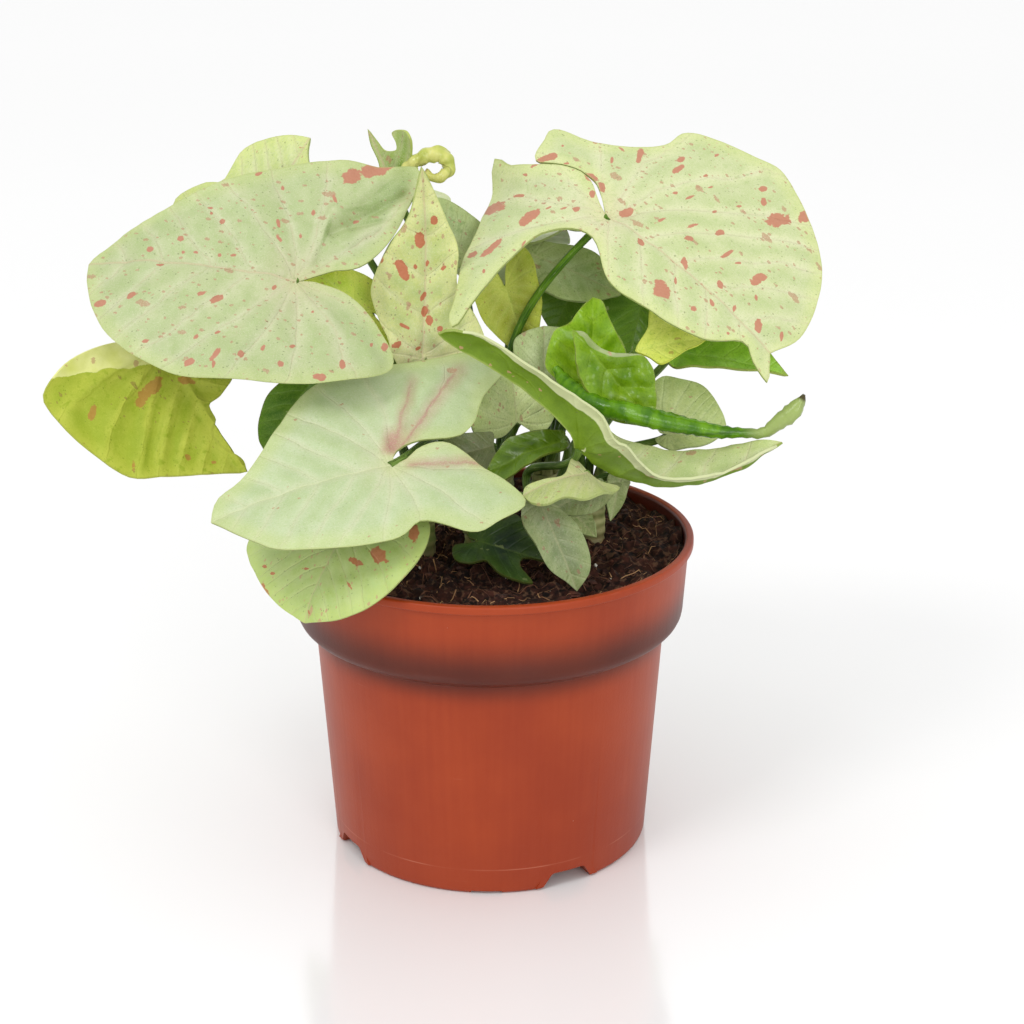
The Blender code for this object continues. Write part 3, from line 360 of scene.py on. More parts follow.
        "upper": ((96, 130, 26), (62, 94, 8)), "quilt": 0.5, "veins": 0.05, "light": 0.62},
    "pale_low": {"upper": ((200, 212, 122), (166, 182, 90)), "specks": 0.1, "veins": 0.08, "light": 0.92},
    "shade_low": GREY_LEAF | {"upper": ((130, 142, 88), (88, 100, 54)), "light": 0.9},
    "hanging_front": GREY_LEAF | {
        "upper": ((152, 164, 116), (112, 128, 82)), "light": 0.75, "mesh_scale": 0.8},
    "dark_low": DARK_LEAF | {
        "upper": ((50, 78, 52), (30, 50, 34)), "glow_colour": (80, 110, 70), "deep_colour": (30, 54, 32),
        "powder": 0.1, "bands": 0.2, "light": 0.62},
    "small_right": GREY_LEAF | {"upper": ((136, 152, 96), (90, 108, 56))},
    "drop_right": GREY_LEAF | {"upper": ((136, 152, 96), (90, 108, 56))},
    "dark_left": DARK_LEAF,
    "dark_back_a": DARK_LEAF,
    "dark_back_b": DARK_LEAF,
}


def leaf(name, stem, at, tip, facing, half_widths, left=None, right=None, **form):
    """One leaf's sizes.

    at is where the stalk meets the blade, tip the blade's point, and facing the way its upper
    side looks. left and right are the half outlines as (along, away from the midrib), or a
    plain outline that the half widths scale. Angles are in degrees: droop is the midrib's
    whole bend, back the bend of the two lobes, fold the rise of each half at the midrib, and
    curl what its margin adds. wave is how high the margin waves, neck, rise, bow and arrive
    lead the stalk, stalk_at moves its top, and roll is a rolled leaf's path with its radii.
    """
    sizes = {
        "name": "leaf_" + name, "stem": stem, "at": at, "tip": tip, "facing": facing,
        "half_widths": half_widths, "left": left or HEART, "right": right or HEART,
        "droop": 20, "back": (20, 20), "fold": (8, 8), "curl": (0, 0),
        "wave": 0.6, "waves": 5, "segments": 8, "neck": 22, "rise": 0.45,
        "bow": (0, 0, 0), "arrive": None, "stalk_at": None, "roll": [],
    }
    sizes.update(form)
    sizes.update(PALE_LEAF | LOOKS.get(name, {}))
    return sizes


# What the five leaves at the back have in common
REAR = {"droop": 36, "curl": (-12, -12), "wave": 1.5, "segments": 10}
LEAVES = [
    leaf("big_left", "left", (-53, -20, 175), (-111, -9, 177), (-12, -70, 70), (33, 36), left=[(-6, -1),
         (-16, 1), (-26, 8), (-31, 18), (-11, 28), (20, 33), (35, 30), (48, 23), (56, 12)], right=[(-9, 5),
         (-18, 9), (-25, 22), (-28, 40), (-17, 38), (-4, 37), (17, 29), (38, 17), (56, 4)], droop=36,
         back=(14, -6), fold=(0, 6), curl=(-18, 6), wave=0.8, waves=6, segments=14),
    leaf("front_left", "left", (-27, -42, 129), (-75, -51, 116), (-10, -62, 78), (22, 27), left=[(-5, -1.2),
         (-9, -3.6), (-15, -4.9), (-20, -2.8), (-26, 5.6), (-34.5, 17), (-25, 22), (-17, 24), (-4, 19),
         (6, 23), (32, 18), (41, 12)], right=[(-2, 3), (-5, 5), (-11, 6), (-18, 5.9), (-23, 7), (-28, 11),
         (-33, 19), (-46, 32), (-40, 36), (-19, 33), (-1, 34), (10, 32), (19, 26), (37, 10), (47, 6)],
         droop=26, back=(10, 10), fold=(2, 6), curl=(-18, -10), segments=14, arrive=(-79, -63, -18),
         neck=14, rise=0.6, bow=(4, 12, 0)),
    leaf("big_right", "centre", (34, 6, 187), (78, -20, 154), (15, -66, 74), (38, 34), left=[(-4, 2.4),
         (-8, 5.6), (-12, 8), (-16, 8.5), (-20, 8.5), (-24, 7.7), (-28, 6), (-31, 4.8), (-33.5, 6.5),
         (-35, 12), (-35, 18), (-19, 22), (-6, 32), (-3, 40), (17, 46), (28, 47), (50, 35), (60, 22),
         (64, 10)], right=[(-4, -1.4), (-8, -4.2), (-12, -7), (-16, -8.2), (-20, -8.2), (-24, -7.3),
         (-28, -5.4), (-32, -3.5), (-39, -1.5), (-46, 0), (-33, 21), (-27, 33), (-19, 46), (-16, 53),
         (-12, 54), (-12, 44), (-11, 17), (1, 9), (15, 18), (27, 18), (45, 13), (54, 4), (60, 6), (67, 7),
         (64, 3)], droop=30, back=(4, 26), fold=(2, -2), curl=(-2, -8), arrive=(65, -25, 70), neck=40,
         segments=22, bow=(-6, 0, 0)),
    leaf("upright_middle", "left", (-19, -3, 148), (-18, -15, 205), (-10, -75, 60), (17, 17), left=[(-4, 5),
         (1, 9), (6, 10.5), (12, 13.5), (20, 15.6), (28, 13.6), (35, 10.6), (43, 5)], right=[(0, 9),
         (5, 17), (12, 15), (21, 9), (32, 9), (41, 6)], droop=-40, back=(10, 10), fold=(24, -18),
         curl=(-10, 0), segments=10),
    leaf("far_left", "back_left", (-91, -6, 151), (-68, -22, 120), (-55, 60, 50), (36, 16), left=[(-9, 10),
         (-12, 25), (-8, 36), (-2, 38), (12, 35), (26, 29), (31, 20), (38, 6)], right=[(4, 9), (14, 13),
         (18, 7), (19, 2), (24, 1), (27, -2), (33, -1), (38, 1)], back=(30, 10), fold=(-4, 0),
         curl=(-10, 0), segments=10),
    leaf("rim_left", "left", (-39, -40, 110), (-51, -52, 87), (-45, -60, 55), (26, 22), left=[(-9, 6),
         (-13, 13), (-11, 21), (-4, 25), (5, 25), (16, 20), (24, 12)], right=[(1, 17), (7, 30), (15, 31),
         (22, 21), (27, 11)], droop=30, back=(6, 6), fold=(0, 0), curl=(-15, -10), segments=10),
    leaf("behind_left", "back_left", (-66, 14, 181), (-51, 24, 206), (-35, -60, 60), (20, 10),
         left=[(-4, 5), (-8, 19), (-3, 30), (6, 23), (9, 18), (20, 17), (28, 7)], right=[(1, 14), (7, 19),
         (17, 14), (25, 4)]),
    leaf("top_curl", "back_left", (-25, 12, 189), (-34, 16, 210), (-20, -70, 50), (6, 9), left=[(4, 3),
         (10, 2), (14, 1), (19, 1)], right=[(2, 6), (7, 9), (11, 9), (16, 12), (19, 12), (20, 9), (20, 6),
         (17, 6), (15, 5), (16, 2), (19, 1)], droop=-30, curl=(20, 30), segments=18,
         roll=[(-24, 14, 199, 1.2), (-21, 13, 201, 1.8), (-17, 13, 203, 2.2), (-13, 13, 203, 2.3),
         (-11, 13, 200, 2.0), (-12, 12, 198, 1.6), (-15, 11, 197, 1.4), (-18, 11, 199, 1.0)]),
    leaf("yellow_left", "back_left", (-34, 4, 160), (-57, 6, 176), (-10, -70, 60), (9, 8)),
    leaf("grey_middle", "centre", (-6, 24, 171), (-18, 26, 188), (10, -70, 60), (14, 14), left=[(0, 7),
         (6, 10), (14, 8)], right=[(-3, 5), (3, 9), (12, 7), (18, 4)]),
    leaf("under_right", "back_right", (13, 26, 171), (39, 22, 160), (10, -70, 60), (12, 13), left=[(-3, 1),
         (-2, 4), (4, 6), (17, 8)], right=[(-2, 6), (5, 10), (13, 11), (21, 7)]),
    leaf("yellow_under", "centre", (5, 19, 163), (13, 12, 142), (-30, -60, 30), (11, 10), droop=30),
    leaf("boat", "front_right", (25, -31, 130), (81, -24, 130), (0, -2, 100), (15, 9), left=[(-8, 3),
         (-20, 6), (-24, 12), (-12, 16), (6, 16), (26, 14), (46, 10), (58, 5)], right=[(-10, 3), (-30, 3),
         (-52, 2), (-46, 9), (-34, 11), (-16, 12), (0, 12), (14, 9), (26, 5), (40, 4), (52, 4), (60, 2)],
         droop=-92, back=(10, 6), fold=(22, 58), curl=(14, 10), arrive=(10, -50, 85), segments=14,
         bow=(-12, 24, 0)),
    leaf("young_front", "right", (24, -12, 158), (46, -16, 132), (10, -85, 40), (12, 9), left=[(2, 2),
         (6, 2), (11, 4), (17, 10), (22, 10), (27, 7), (31, 4)], right=[(3, 3), (7, 6), (13, 8), (22, 9),
         (26, 8), (31, 4)], droop=16, stalk_at=(24.5, -12.5, 141), arrive=(-5, -5, 90),
         roll=[(19, -6, 146, 1.0), (21.5, -9, 143, 2.0), (25, -13.5, 141, 2.3), (29, -18.5, 139.6, 2.4),
         (33, -21.3, 138.4, 2.6), (37, -22, 138, 2.8), (42, -22, 136.6, 2.8), (49, -21.5, 134.7, 2.7),
         (57, -20.5, 132.9, 2.4), (64, -20, 131.4, 2.0), (71, -20, 131, 1.4), (77, -20, 131, 1.5),
         (81, -20, 134, 2.1), (85, -20, 137, 2.6), (87, -20, 140, 1.5), (88, -20, 142, 0.4)]),
    leaf("young_back", "right", (30, 0, 129), (30, 4, 164), (-10, -80, 40), (13, 11), left=[(1, 2), (6, 6),
         (12, 11), (16, 14), (22, 13), (26, 11), (28, 7), (32, 4)], right=[(3, 3), (8, 7), (14, 10),
         (20, 10), (24, 8), (29, 5), (34, 3)], droop=10, fold=(16, 16), bow=(-12, -6, 0)),
    leaf("yellow_right", "right", (42, -3, 150), (63, 3, 152), (10, -70, 60), (12, 8), left=[(1, 2), (5, 6),
         (8, 12), (15, 9), (18, 5)], right=[(3, 3), (6, 6), (14, 3), (18, 2)]),
    leaf("dark_right", "right", (54, 14, 145), (87, 6, 140), (10, -60, 80), (7, 6), left=[(-2, 2), (4, 6),
         (16, 6), (25, 6), (30, 3)], right=[(-1, 5), (5, 8), (13, 5), (22, 3), (29, 1)], fold=(15, 15)),
    leaf("grey_right", "right", (52, 0, 124), (69, 0, 126), (20, -75, 60), (16, 6), left=[(-3, 2), (-5, 12),
         (0, 17), (5, 16), (12, 13), (16, 5)], right=[(-4, 1), (0, 5), (9, 5), (14, 3)], droop=10),
    leaf("spotted_middle", "centre", (16, 4, 138), (16, 10, 154), (0, -70, 60), (11, 11), left=[(0, 4),
         (5, 8), (12, 9), (15, 6)], right=[(-1, 4), (5, 9), (11, 10), (16, 7)], bow=(0, -3, 0)),
    leaf("folded_middle", "front", (8, -2, 129), (6, 4, 147), (0, -75, 60), (13, 9), left=[(-4, 5),
         (-3, 12), (2, 14), (7, 12), (13, 7)], right=[(-4, 6), (0, 11), (6, 12), (12, 9), (17, 3)],
         fold=(14, 14)),
    leaf("grey_low", "front", (1, -13, 125), (-16, -19, 122), (-10, -70, 60), (7, 6), left=[(2, 7), (7, 8),
         (15, 7)], right=[(-1, 4), (5, 5), (12, 6)]),
    leaf("green_bend", "front_right", (21, -19, 129), (-1, -25, 121), (-10, -70, 60), (6, 5), left=[(0, 3),
         (6, 3), (15, 4), (22, 5)], right=[(-1, 2), (3, 4), (11, 6), (16, 6)]),
    leaf("pale_low", "front_right", (27, -32, 123), (9, -39, 119), (0, -40, 85), (9, 8), left=[(-2, 4),
         (-7, 7), (4, 12), (10, 8), (16, 8.4), (19, 6)], right=[(0, 2), (2, 6), (7, 1), (14, 2), (18, 2)],
         droop=40, arrive=(0, -90, 20), bow=(0, -12, 0), rise=0.15),
    leaf("shade_low", "front_right", (32, -24, 117), (16, -30, 111), (0, -80, 40), (8, 6), left=[(-5, 2),
         (-1, 4), (5, 6), (11, 5), (16, 2)], right=[(0, 2), (6, 3), (13, 4), (17, 3)]),
    leaf("hanging_front", "front", (14, -36, 116), (24, -47, 94), (10, -85, 35), (10, 7), left=[(0, 2),
         (5, 5), (11, 7), (18, 7), (23, 5)], right=[(-2, 2), (-1, 5), (4, 7), (10, 6), (18, 5), (23, 2)],
         fold=(6, 6)),
    leaf("dark_low", "front", (-3, -24, 100), (16, -30, 96), (-10, -60, 70), (7, 5), left=[(-4, 1), (-3, 5),
         (4, 8), (8, 11), (16, 4)], right=[(-2, 1), (-7, 3), (-4, 8), (-1, 8), (4, 6), (10, 9), (19, 8),
         (14, 4), (14, 1)], droop=10),
    leaf("small_right", "front_right", (24, -20, 107), (30, -26, 102), (10, -80, 50), (4, 4), left=LANCE,
         right=LANCE, droop=10),
    leaf("drop_right", "right", (38, -4, 112), (35, -10, 101), (30, -80, 40), (3, 4), left=LANCE,
         right=LANCE, droop=10, bow=(0, -6, 0)),
    leaf("dark_left", "left", (-50, 2, 141), (-65, -6, 122), (-30, -70, 50), (8, 10), left=[(3, 6), (11, 9),
         (19, 8), (24, 4)], right=[(0, 5), (7, 7), (13, 8), (20, 6), (24, 3)]),
    leaf("dark_back_a", "back_right", (26, 36, 160), (19, 30, 146), (0, -80, 50), (14, 14)),
    leaf("dark_back_b", "back_right", (45, 28, 155), (41, 20, 140), (20, -80, 50), (13, 13),
         bow=(6, -12, 0)),
    leaf("rear_left", "back_left", (-46, 44, 184), (-92, 74, 150), (-25, 45, 85), (25, 27), **REAR),
    leaf("rear_right", "back_right", (54, 48, 172), (94, 78, 138), (30, 45, 85), (25, 24), **REAR),
    leaf("rear_middle", "back_right", (1, 54, 168), (5, 99, 132), (0, 60, 80), (22, 24), bow=(0, 6, 0),
         **REAR),
    leaf("rear_low_left", "back_left", (-34, 50, 128), (-66, 84, 98), (-30, 50, 80), (20, 19),
         bow=(0, 6, 0), **REAR),
    leaf("rear_low_right", "back_right", (34, 54, 124), (60, 88, 96), (30, 50, 80), (18, 19), bow=(0, 6, 0),
         **REAR),
]


# Leaf form

def unit(vector):
    vector = np.asarray(vector, dtype=float)
    return vector / np.linalg.norm(vector)


def running_sum(values, steps):
    """The trapezium sum of values over even steps, starting at nought."""
    middle = 0.5 * (values[1:] + values[:-1])
    return np.concatenate([[0.0], np.cumsum(middle * steps)])


def even_spline(points, count):
    """count + 1 points at even distances on a smooth curve through the given ones."""
    points = np.array(points, dtype=float)
    ends = [2 * points[0] - points[1]], [2 * points[-1] - points[-2]]
    knots = np.vstack([ends[0], points, ends[1]])
    curve = []
    for a, b, c, d in zip(knots, knots[1:], knots[2:], knots[3:]):
        for t in np.linspace(0, 1, SPLINE_STEPS, endpoint=False):
            bend = (2 * a - 5 * b + 4 * c - d) * t * t + (3 * b - a - 3 * c + d) * t ** 3
            curve.append(0.5 * (2 * b + (c - a) * t + bend))
    curve.append(points[-1])
    curve = np.array(curve)
    run = np.concatenate([[0.0], np.cumsum(np.linalg.norm(np.diff(curve, axis=0), axis=1))])
    even = np.linspace(0, run[-1], count + 1)
    return np.stack([np.interp(even, run, curve[:, axis]) for axis in range(curve.shape[1])], axis=1)


class Blade:
    """The curved surface of one leaf, as a map from flat leaf places to places in the plant."""

    def __init__(self, sizes):
        self.sizes = sizes
        self.at = np.array(sizes["at"], dtype=float)
        chord = np.array(sizes["tip"], dtype=float) - self.at
        self.along = unit(chord)
        facing = np.array(sizes["facing"], dtype=float)
        self.up = unit(facing - (facing @ self.along) * self.along)
        self.across = np.cross(self.up, self.along)
        self.steps = np.linspace(0, 1, MIDRIB_STEPS + 1)
        angle = math.radians(sizes["droop"]) * (0.5 - self.steps)
        run = running_sum(np.cos(angle), 1 / MIDRIB_STEPS)
        lift = running_sum(np.sin(angle), 1 / MIDRIB_STEPS)
        self.length = np.linalg.norm(chord) / run[-1]
        self.angle = angle
        self.run = run * self.length
        self.lift = lift * self.length

    def half_outline(self, side, fineness):
        points = np.array(self.sizes[("left", "right")[side]], dtype=float)
        if points[:, 0].max() <= 1:
            points = points * (self.length, self.sizes["half_widths"][side])
        points = np.vstack([(-SINUS_DEPTH * self.length, 0), points, (self.length, 0)])
        points[:, 1] *= (1, -1)[side]
        return even_spline(points, self.sizes["segments"] * fineness)

    def outline(self, fineness):
        left, right = self.half_outline(0, fineness), self.half_outline(1, fineness)
        return np.vstack([left, right[::-1][1:-1]])

    def place(self, flat):
        """Places in the plant of flat points, an array of (along, across)."""
        flat = np.asarray(flat, dtype=float)
        x, y = flat[:, 0], flat[:, 1]
        share = np.clip(x / self.length, 0, 1)
        run = np.interp(share, self.steps, self.run)
        lift = np.interp(share, self.steps, self.lift)
        angle = np.interp(share, self.steps, self.angle)
        behind = np.clip(-x / self.length, 0, None)
        start = self.angle[0]
        left_share = 0.5 + 0.5 * np.tanh(y / LOBE_BLEND)
        left_bend, right_bend = np.radians(self.sizes["back"]) / LOBE_BEND_LENGTH
        bends = right_bend + (left_bend - right_bend) * left_share
        bends = np.where(np.abs(bends) < 1e-3, 1e-3, bends)
        lobe_angle = start + bends * behind
        lobe = behind > 0
        run = np.where(lobe, -self.length * (np.sin(lobe_angle) - math.sin(start)) / bends, run)
        lift = np.where(lobe, self.length * (np.cos(lobe_angle) - math.cos(start)) / bends, lift)
        beyond = np.clip(x - self.length, 0, None)
        run = run + beyond * math.cos(self.angle[-1])
        lift = lift + beyond * math.sin(self.angle[-1])
        angle = np.where(lobe, lobe_angle, angle)
        aside, rise = self.cross_section(y)
        rise = rise + self.margin_wave(x, y)
        normal = np.outer(-np.sin(angle), self.along) + np.outer(np.cos(angle), self.up)
        midrib = self.at + np.outer(run, self.along) + np.outer(lift, self.up)
        return midrib + np.outer(aside, self.across) + rise[:, None] * normal

    def cross_section(self, y):
        """How far aside and how high the blade lies at a distance y from its midrib."""
        aside, rise = np.zeros_like(y), np.zeros_like(y)
        share = np.linspace(0, CURL_REACH, CURL_STEPS + 1)
        for side, sign in ((0, 1), (1, -1)):
            width = self.sizes["half_widths"][side]
            slope = math.radians(self.sizes["fold"][side])
            slope = slope + math.radians(self.sizes["curl"][side]) * share ** 2
            step = width * share[1]
            here = y * sign >= 0
            part = np.abs(y) / width
            aside = np.where(here, sign * np.interp(part, share, running_sum(np.cos(slope), step)), aside)
            rise = np.where(here, np.interp(part, share, running_sum(np.sin(slope), step)), rise)
        return aside, rise

    def margin_wave(self, x, y):
        """A gentle wave that grows towards the margin."""
        turn = np.arctan2(y, x - FAN_CENTRE * self.length)
        width = np.where(y > 0, *self.sizes["half_widths"])
        reach = np.clip(np.hypot(x / self.length, y / width), 0, 1.2)
        return self.sizes["wave"] * np.sin(self.sizes["waves"] * turn) * reach ** 2

    def stalk_path(self, foot):
        """A smooth way up from the stem and over to the blade's underside."""
        start = self.angle[0]
        ahead = math.cos(start) * self.along + math.sin(start) * self.up
        normal = -math.sin(start) * self.along + math.cos(start) * self.up
        arrive = unit(self.sizes["arrive"] or normal * (1 - STALK_LEAN) + ahead * STALK_LEAN)
        foot = np.array(foot, dtype=float)
        end = self.at - normal * STALK_SINK
        if self.sizes["stalk_at"]:
            end = np.array(self.sizes["stalk_at"], dtype=float)
        span = np.linalg.norm(end - foot)
        start = foot + np.array([0, 0, STALK_UPRIGHT])
        first = start + np.array([0, 0, self.sizes["rise"] * span]) + self.sizes["bow"]
        second = end - arrive * min(self.sizes["neck"], 0.45 * span)
        t = np.linspace(0, 1, STALK_STEPS + 1)[:, None]
        curve = ((1 - t) ** 3 * start + 3 * (1 - t) ** 2 * t * first
                 + 3 * (1 - t) * t ** 2 * second + t ** 3 * end)
        return np.vstack([foot, curve])


def stalk_feet(leaves):
    """Where each leaf's stalk stands: in order of direction, evenly round its stem's top."""
    feet = {}
    for stem, (x, y, top) in STEMS.items():
        group = [sizes for sizes in leaves if sizes["stem"] == stem]
        turns = {s["name"]: math.atan2(s["at"][1] - y, s["at"][0] - x) for s in group}
        order = sorted(turns, key=turns.get)
        step = 2 * math.pi / len(order)
        shift = np.angle(sum(np.exp(1j * (turns[name] - i * step)) for i, name in enumerate(order)))
        for i, name in enumerate(order):
            turn = shift + i * step
            feet[name] = (x + STALK_RING * math.cos(turn), y + STALK_RING * math.sin(turn), top + TOUCH_GAP)
    return feet


# Meshes

def select_only(*things):
    """Leave just these objects selected, the first one active."""
    bpy.ops.object.select_all(action="DESELECT")
    for thing in things:
        thing.select_set(True)
    bpy.context.view_layer.objects.active = things[0]


def new_piece(name, mesh):
    thing = bpy.data.objects.new(name, mesh)
    bpy.context.scene.collection.objects.link(thing)
    return thing


def joined(first, *others):
    select_only(first, *others)
    if others:
        bpy.ops.object.join()
    return first


def apply_modifier(thing, modifier):
    select_only(thing)
    bpy.ops.object.modifier_apply(modifier=modifier.name)


def face_out(thing):
    select_only(thing)
    bpy.ops.object.mode_set(mode="EDIT")
    bpy.ops.mesh.select_all(action="SELECT")
    bpy.ops.mesh.remove_doubles(threshold=1e-6)
    bpy.ops.mesh.normals_make_consistent(inside=False)
    bpy.ops.object.mode_set(mode="OBJECT")


def smooth(thing, angle):
    """Shade smoothly, apart from edges that turn by more than this angle."""
    select_only(thing)
    bpy.ops.object.shade_smooth_by_angle(angle=math.radians(angle))


def set_attribute(mesh, name, values):
    """Store a number or a vector for each point of a mesh."""
    values = np.asarray(values, dtype=np.float32)
    if values.ndim == 1:
        mesh.attributes.new(name, "FLOAT", "POINT").data.foreach_set("value", values)
    else:
        mesh.attributes.new(name, "FLOAT_VECTOR", "POINT").data.foreach_set("vector", values.ravel())


def points_of(mesh):
    places = np.empty(len(mesh.vertices) * 3, dtype=np.float32)
    mesh.vertices.foreach_get("co", places)
    return places.reshape(-1, 3).astype(float) / MM


def move_points(mesh, places):
    mesh.vertices.foreach_set("co", (np.asarray(places) * MM).astype(np.float32).ravel())
    mesh.update()


def show_piece(piece, slot, *nodes):
    """Carry a piece on the pot's body and hide the nodes that it stands for; slot is not used."""
    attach(piece, "root")
    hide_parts(*nodes)


def tube(name, path, radii, sides):
    """A round rod along a path, its ends closed."""
    curve = bpy.data.curves.new(name, "CURVE")
    curve.dimensions = "3D"
    curve.bevel_depth = MM
    curve.bevel_resolution = sides // 2 - 2
    curve.use_fill_caps = True
    line = curve.splines.new("POLY")
    line.points.add(len(path) - 1)
    for point, place, radius in zip(line.points, path, radii):
        point.co = (*(np.asarray(place) * MM), 1)
        point.radius = radius
    rod = new_piece(name, curve)
    select_only(rod)
    bpy.ops.object.convert(target="MESH")
    face_out(rod)
    return rod


# Leaf meshes

def inside(outline, points):
    """Which points lie inside a closed outline."""
    ahead = np.roll(outline, -1, axis=0)
    crossings = np.zeros(len(points), dtype=int)
    for (ax, ay), (bx, by) in zip(outline, ahead):
        if ay == by:
            continue
        spans = (ay > points[:, 1]) != (by > points[:, 1])
        meets = (bx - ax) * (points[:, 1] - ay) / (by - ay) + ax
        crossings += spans & (points[:, 0] < meets)
    return crossings % 2 == 1


def distance_to(outline, points):
    """How far each point lies from the nearest place on a closed outline."""
    nearest = np.full(len(points), np.inf)
    for start, end in zip(outline, np.roll(outline, -1, axis=0)):
        edge = end - start
        share = np.clip(((points - start) @ edge) / max(edge @ edge, 1e-9), 0, 1)
        nearest = np.minimum(nearest, np.linalg.norm(start + share[:, None] * edge - points, axis=1))
    return nearest


def inner_grid(outline, spacing):
    """Staggered rows of points inside an outline and clear of it, none on the midrib."""
    low, high = outline.min(axis=0), outline.max(axis=0)
    row = spacing * GRID_ROW_SHARE
    points = []
    for j in range(int(low[1] / row) - 1, int(high[1] / row) + 2):
        if j:
            line = np.arange(low[0] - spacing, high[0] + spacing, spacing) + 0.5 * spacing * (j % 2)
            points += [(x, j * row) for x in line]
    points = np.array(points)
    points = points[inside(outline, points)]
    return points[distance_to(outline, points) > 0.5 * spacing]


def vein_lines(blade, flat):
    """Side veins: a number that is whole on each vein, and the gap between veins in mm.

    Ahead of the stalk the veins leave the midrib one after the other and bend to the tip.
    Behind it they fan out from the stalk.
    """
    y = np.abs(flat[:, 1])
    x = flat[:, 0] - VEIN_BEND * y ** 2 / blade.length
    step = blade.length / VEIN_COUNT
    ray = math.atan2(1, VEIN_SLANT)
    turn = np.arctan2(y, x) - ray
    ahead = x > VEIN_SLANT * y
    number = np.where(ahead, (x - VEIN_SLANT * y) / step, -turn / VEIN_FAN)
    gap = np.where(ahead, step * math.sin(ray), np.maximum(np.hypot(x, y) * VEIN_FAN, 0.3))
    return number, gap


def splash_depth(places, flat):
    """Painted splashes, each an oval: one at an oval's middle, nought at its edge, less outside."""
    depth = np.full(len(flat), -1.0)
    for x, y, long, wide, turn in places:
        c, s = math.cos(math.radians(turn)), math.sin(math.radians(turn))
        dx, dy = flat[:, 0] - x, flat[:, 1] - y
        reach = np.hypot((dx * c + dy * s) / long, (dy * c - dx * s) / wide)
        depth = np.maximum(depth, 1 - reach)
    return depth


def crease_rise(creases, flat):
    """Folds pressed into the blade, each a line with a height in mm and a half width."""
    rise = np.zeros(len(flat))
    for ax, ay, bx, by, height, width in creases:
        start, edge = np.array((ax, ay)), np.array((bx - ax, by - ay))
        share = (flat - start) @ edge / (edge @ edge)
        far = np.linalg.norm(start + np.clip(share, 0, 1)[:, None] * edge - flat, axis=1)
        rise += height * np.exp(-(far / width) ** 2)
    return rise


def turned_over(sizes, flat, margin):
    """How far inside a part where the blade's other side shows each point lies, in mm."""
    slope, reach = sizes["flap"]
    over = reach - flat[:, 0] - slope * flat[:, 1] if reach else np.full(len(flat), -9.0)
    side, width, aside, start, full, end = sizes["rolled_rim"]
    rolled = (flat[:, 1] * side > np.where(flat[:, 0] > 0, 0, aside)) & (width > 0)
    growth = np.clip((flat[:, 0] - start) / (full - start), 0, 1) * np.clip((end - flat[:, 0]) / 4, 0, 1)
    return np.maximum(over, np.where(rolled, width * growth - margin, -9.0))


def blade_piece(name, blade, seed):
    """The blade as a fine closed sheet: filled flat, then bent, quilted and thickened."""
    sizes = blade.sizes
    outline = blade.outline(OUTLINE_FINENESS)
    edge = np.linalg.norm(np.roll(outline, -1, axis=0) - outline, axis=1).mean()
    spacing = BLADE_GRID * sizes["mesh_scale"]
    count = max(4, round(blade.length / spacing))
    midrib = [(x, 0) for x in np.linspace(0, blade.length, count + 1)[:-1]]
    flat = np.vstack([outline, midrib, inner_grid(outline, spacing)])
    tip = sizes["segments"] * OUTLINE_FINENESS
    chain = [0] + [len(outline) + i for i in range(count)] + [tip]
    rim = list(range(len(outline)))
    filled = delaunay_2d_cdt([Vector(point) for point in flat], list(zip(chain, chain[1:])), [rim], 1, 1e-4)
    flat, faces = np.array([tuple(point) for point in filled[0]]), filled[2]
    number, gap = vein_lines(blade, flat)
    margin = distance_to(outline, flat)
    places = blade.place(flat)
    ahead = blade.place(flat + (SLOPE_STEP, 0)) - places
    aside = blade.place(flat + (0, SLOPE_STEP)) - places
    normal = np.cross(ahead, aside)
    normal /= np.maximum(np.linalg.norm(normal, axis=1), 1e-9)[:, None]
    between = np.abs(np.mod(number, 1) - 0.5) * 2
    pillow = (1 - between ** 2) * np.clip(gap / 8, 0, 1)
    rise = sizes["quilt"] * (pillow - 0.5) * np.clip(margin / 5, 0, 1)
    rise -= sizes["groove"] * np.exp(-(flat[:, 1] / GROOVE_WIDTH) ** 2) * (flat[:, 0] > 0)
    broad = np.array([noise.noise((x / BROAD_CRUMPLE, y / BROAD_CRUMPLE, seed)) for x, y in flat])
    fine = np.array([noise.noise((x / FINE_CRUMPLE, y / FINE_CRUMPLE, seed + 0.5)) for x, y in flat])
    rise += sizes["crumple"] * (broad + sizes["wrinkle"] * fine) + crease_rise(sizes["creases"], flat)
    turned = np.where(flat[:, 1] > 0, *sizes["turned_edge"])
    rise -= turned * np.clip(1 - margin / TURNED_WIDTH, 0, 1) ** 2
    places = places + rise[:, None] * normal
    mesh = bpy.data.meshes.new(name)
    mesh.from_pydata([tuple(place * MM) for place in places], [], faces)
    set_attribute(mesh, "flat", np.column_stack([flat, np.full(len(flat), seed * SEED_SPREAD)]))
    set_attribute(mesh, "veins", np.column_stack([number, gap, np.abs(flat[:, 1])]))
    set_attribute(mesh, "margin", margin)
    set_attribute(mesh, "splash", splash_depth(sizes["splashes"], flat))
    set_attribute(mesh, "shade", splash_depth(sizes["shades"], flat))
    set_attribute(mesh, "turned", turned_over(sizes, flat, margin))
    piece = new_piece(name, mesh)
    for finish in leaf_finishes(sizes["name"], sizes):
        mesh.materials.append(finish)
    solid = piece.modifiers.new("Thickness", "SOLIDIFY")
    solid.thickness = SHOWN_THICKNESS * MM
    solid.offset = 0
    solid.material_offset = 1
    solid.material_offset_rim = 1
    apply_modifier(piece, solid)
    return piece


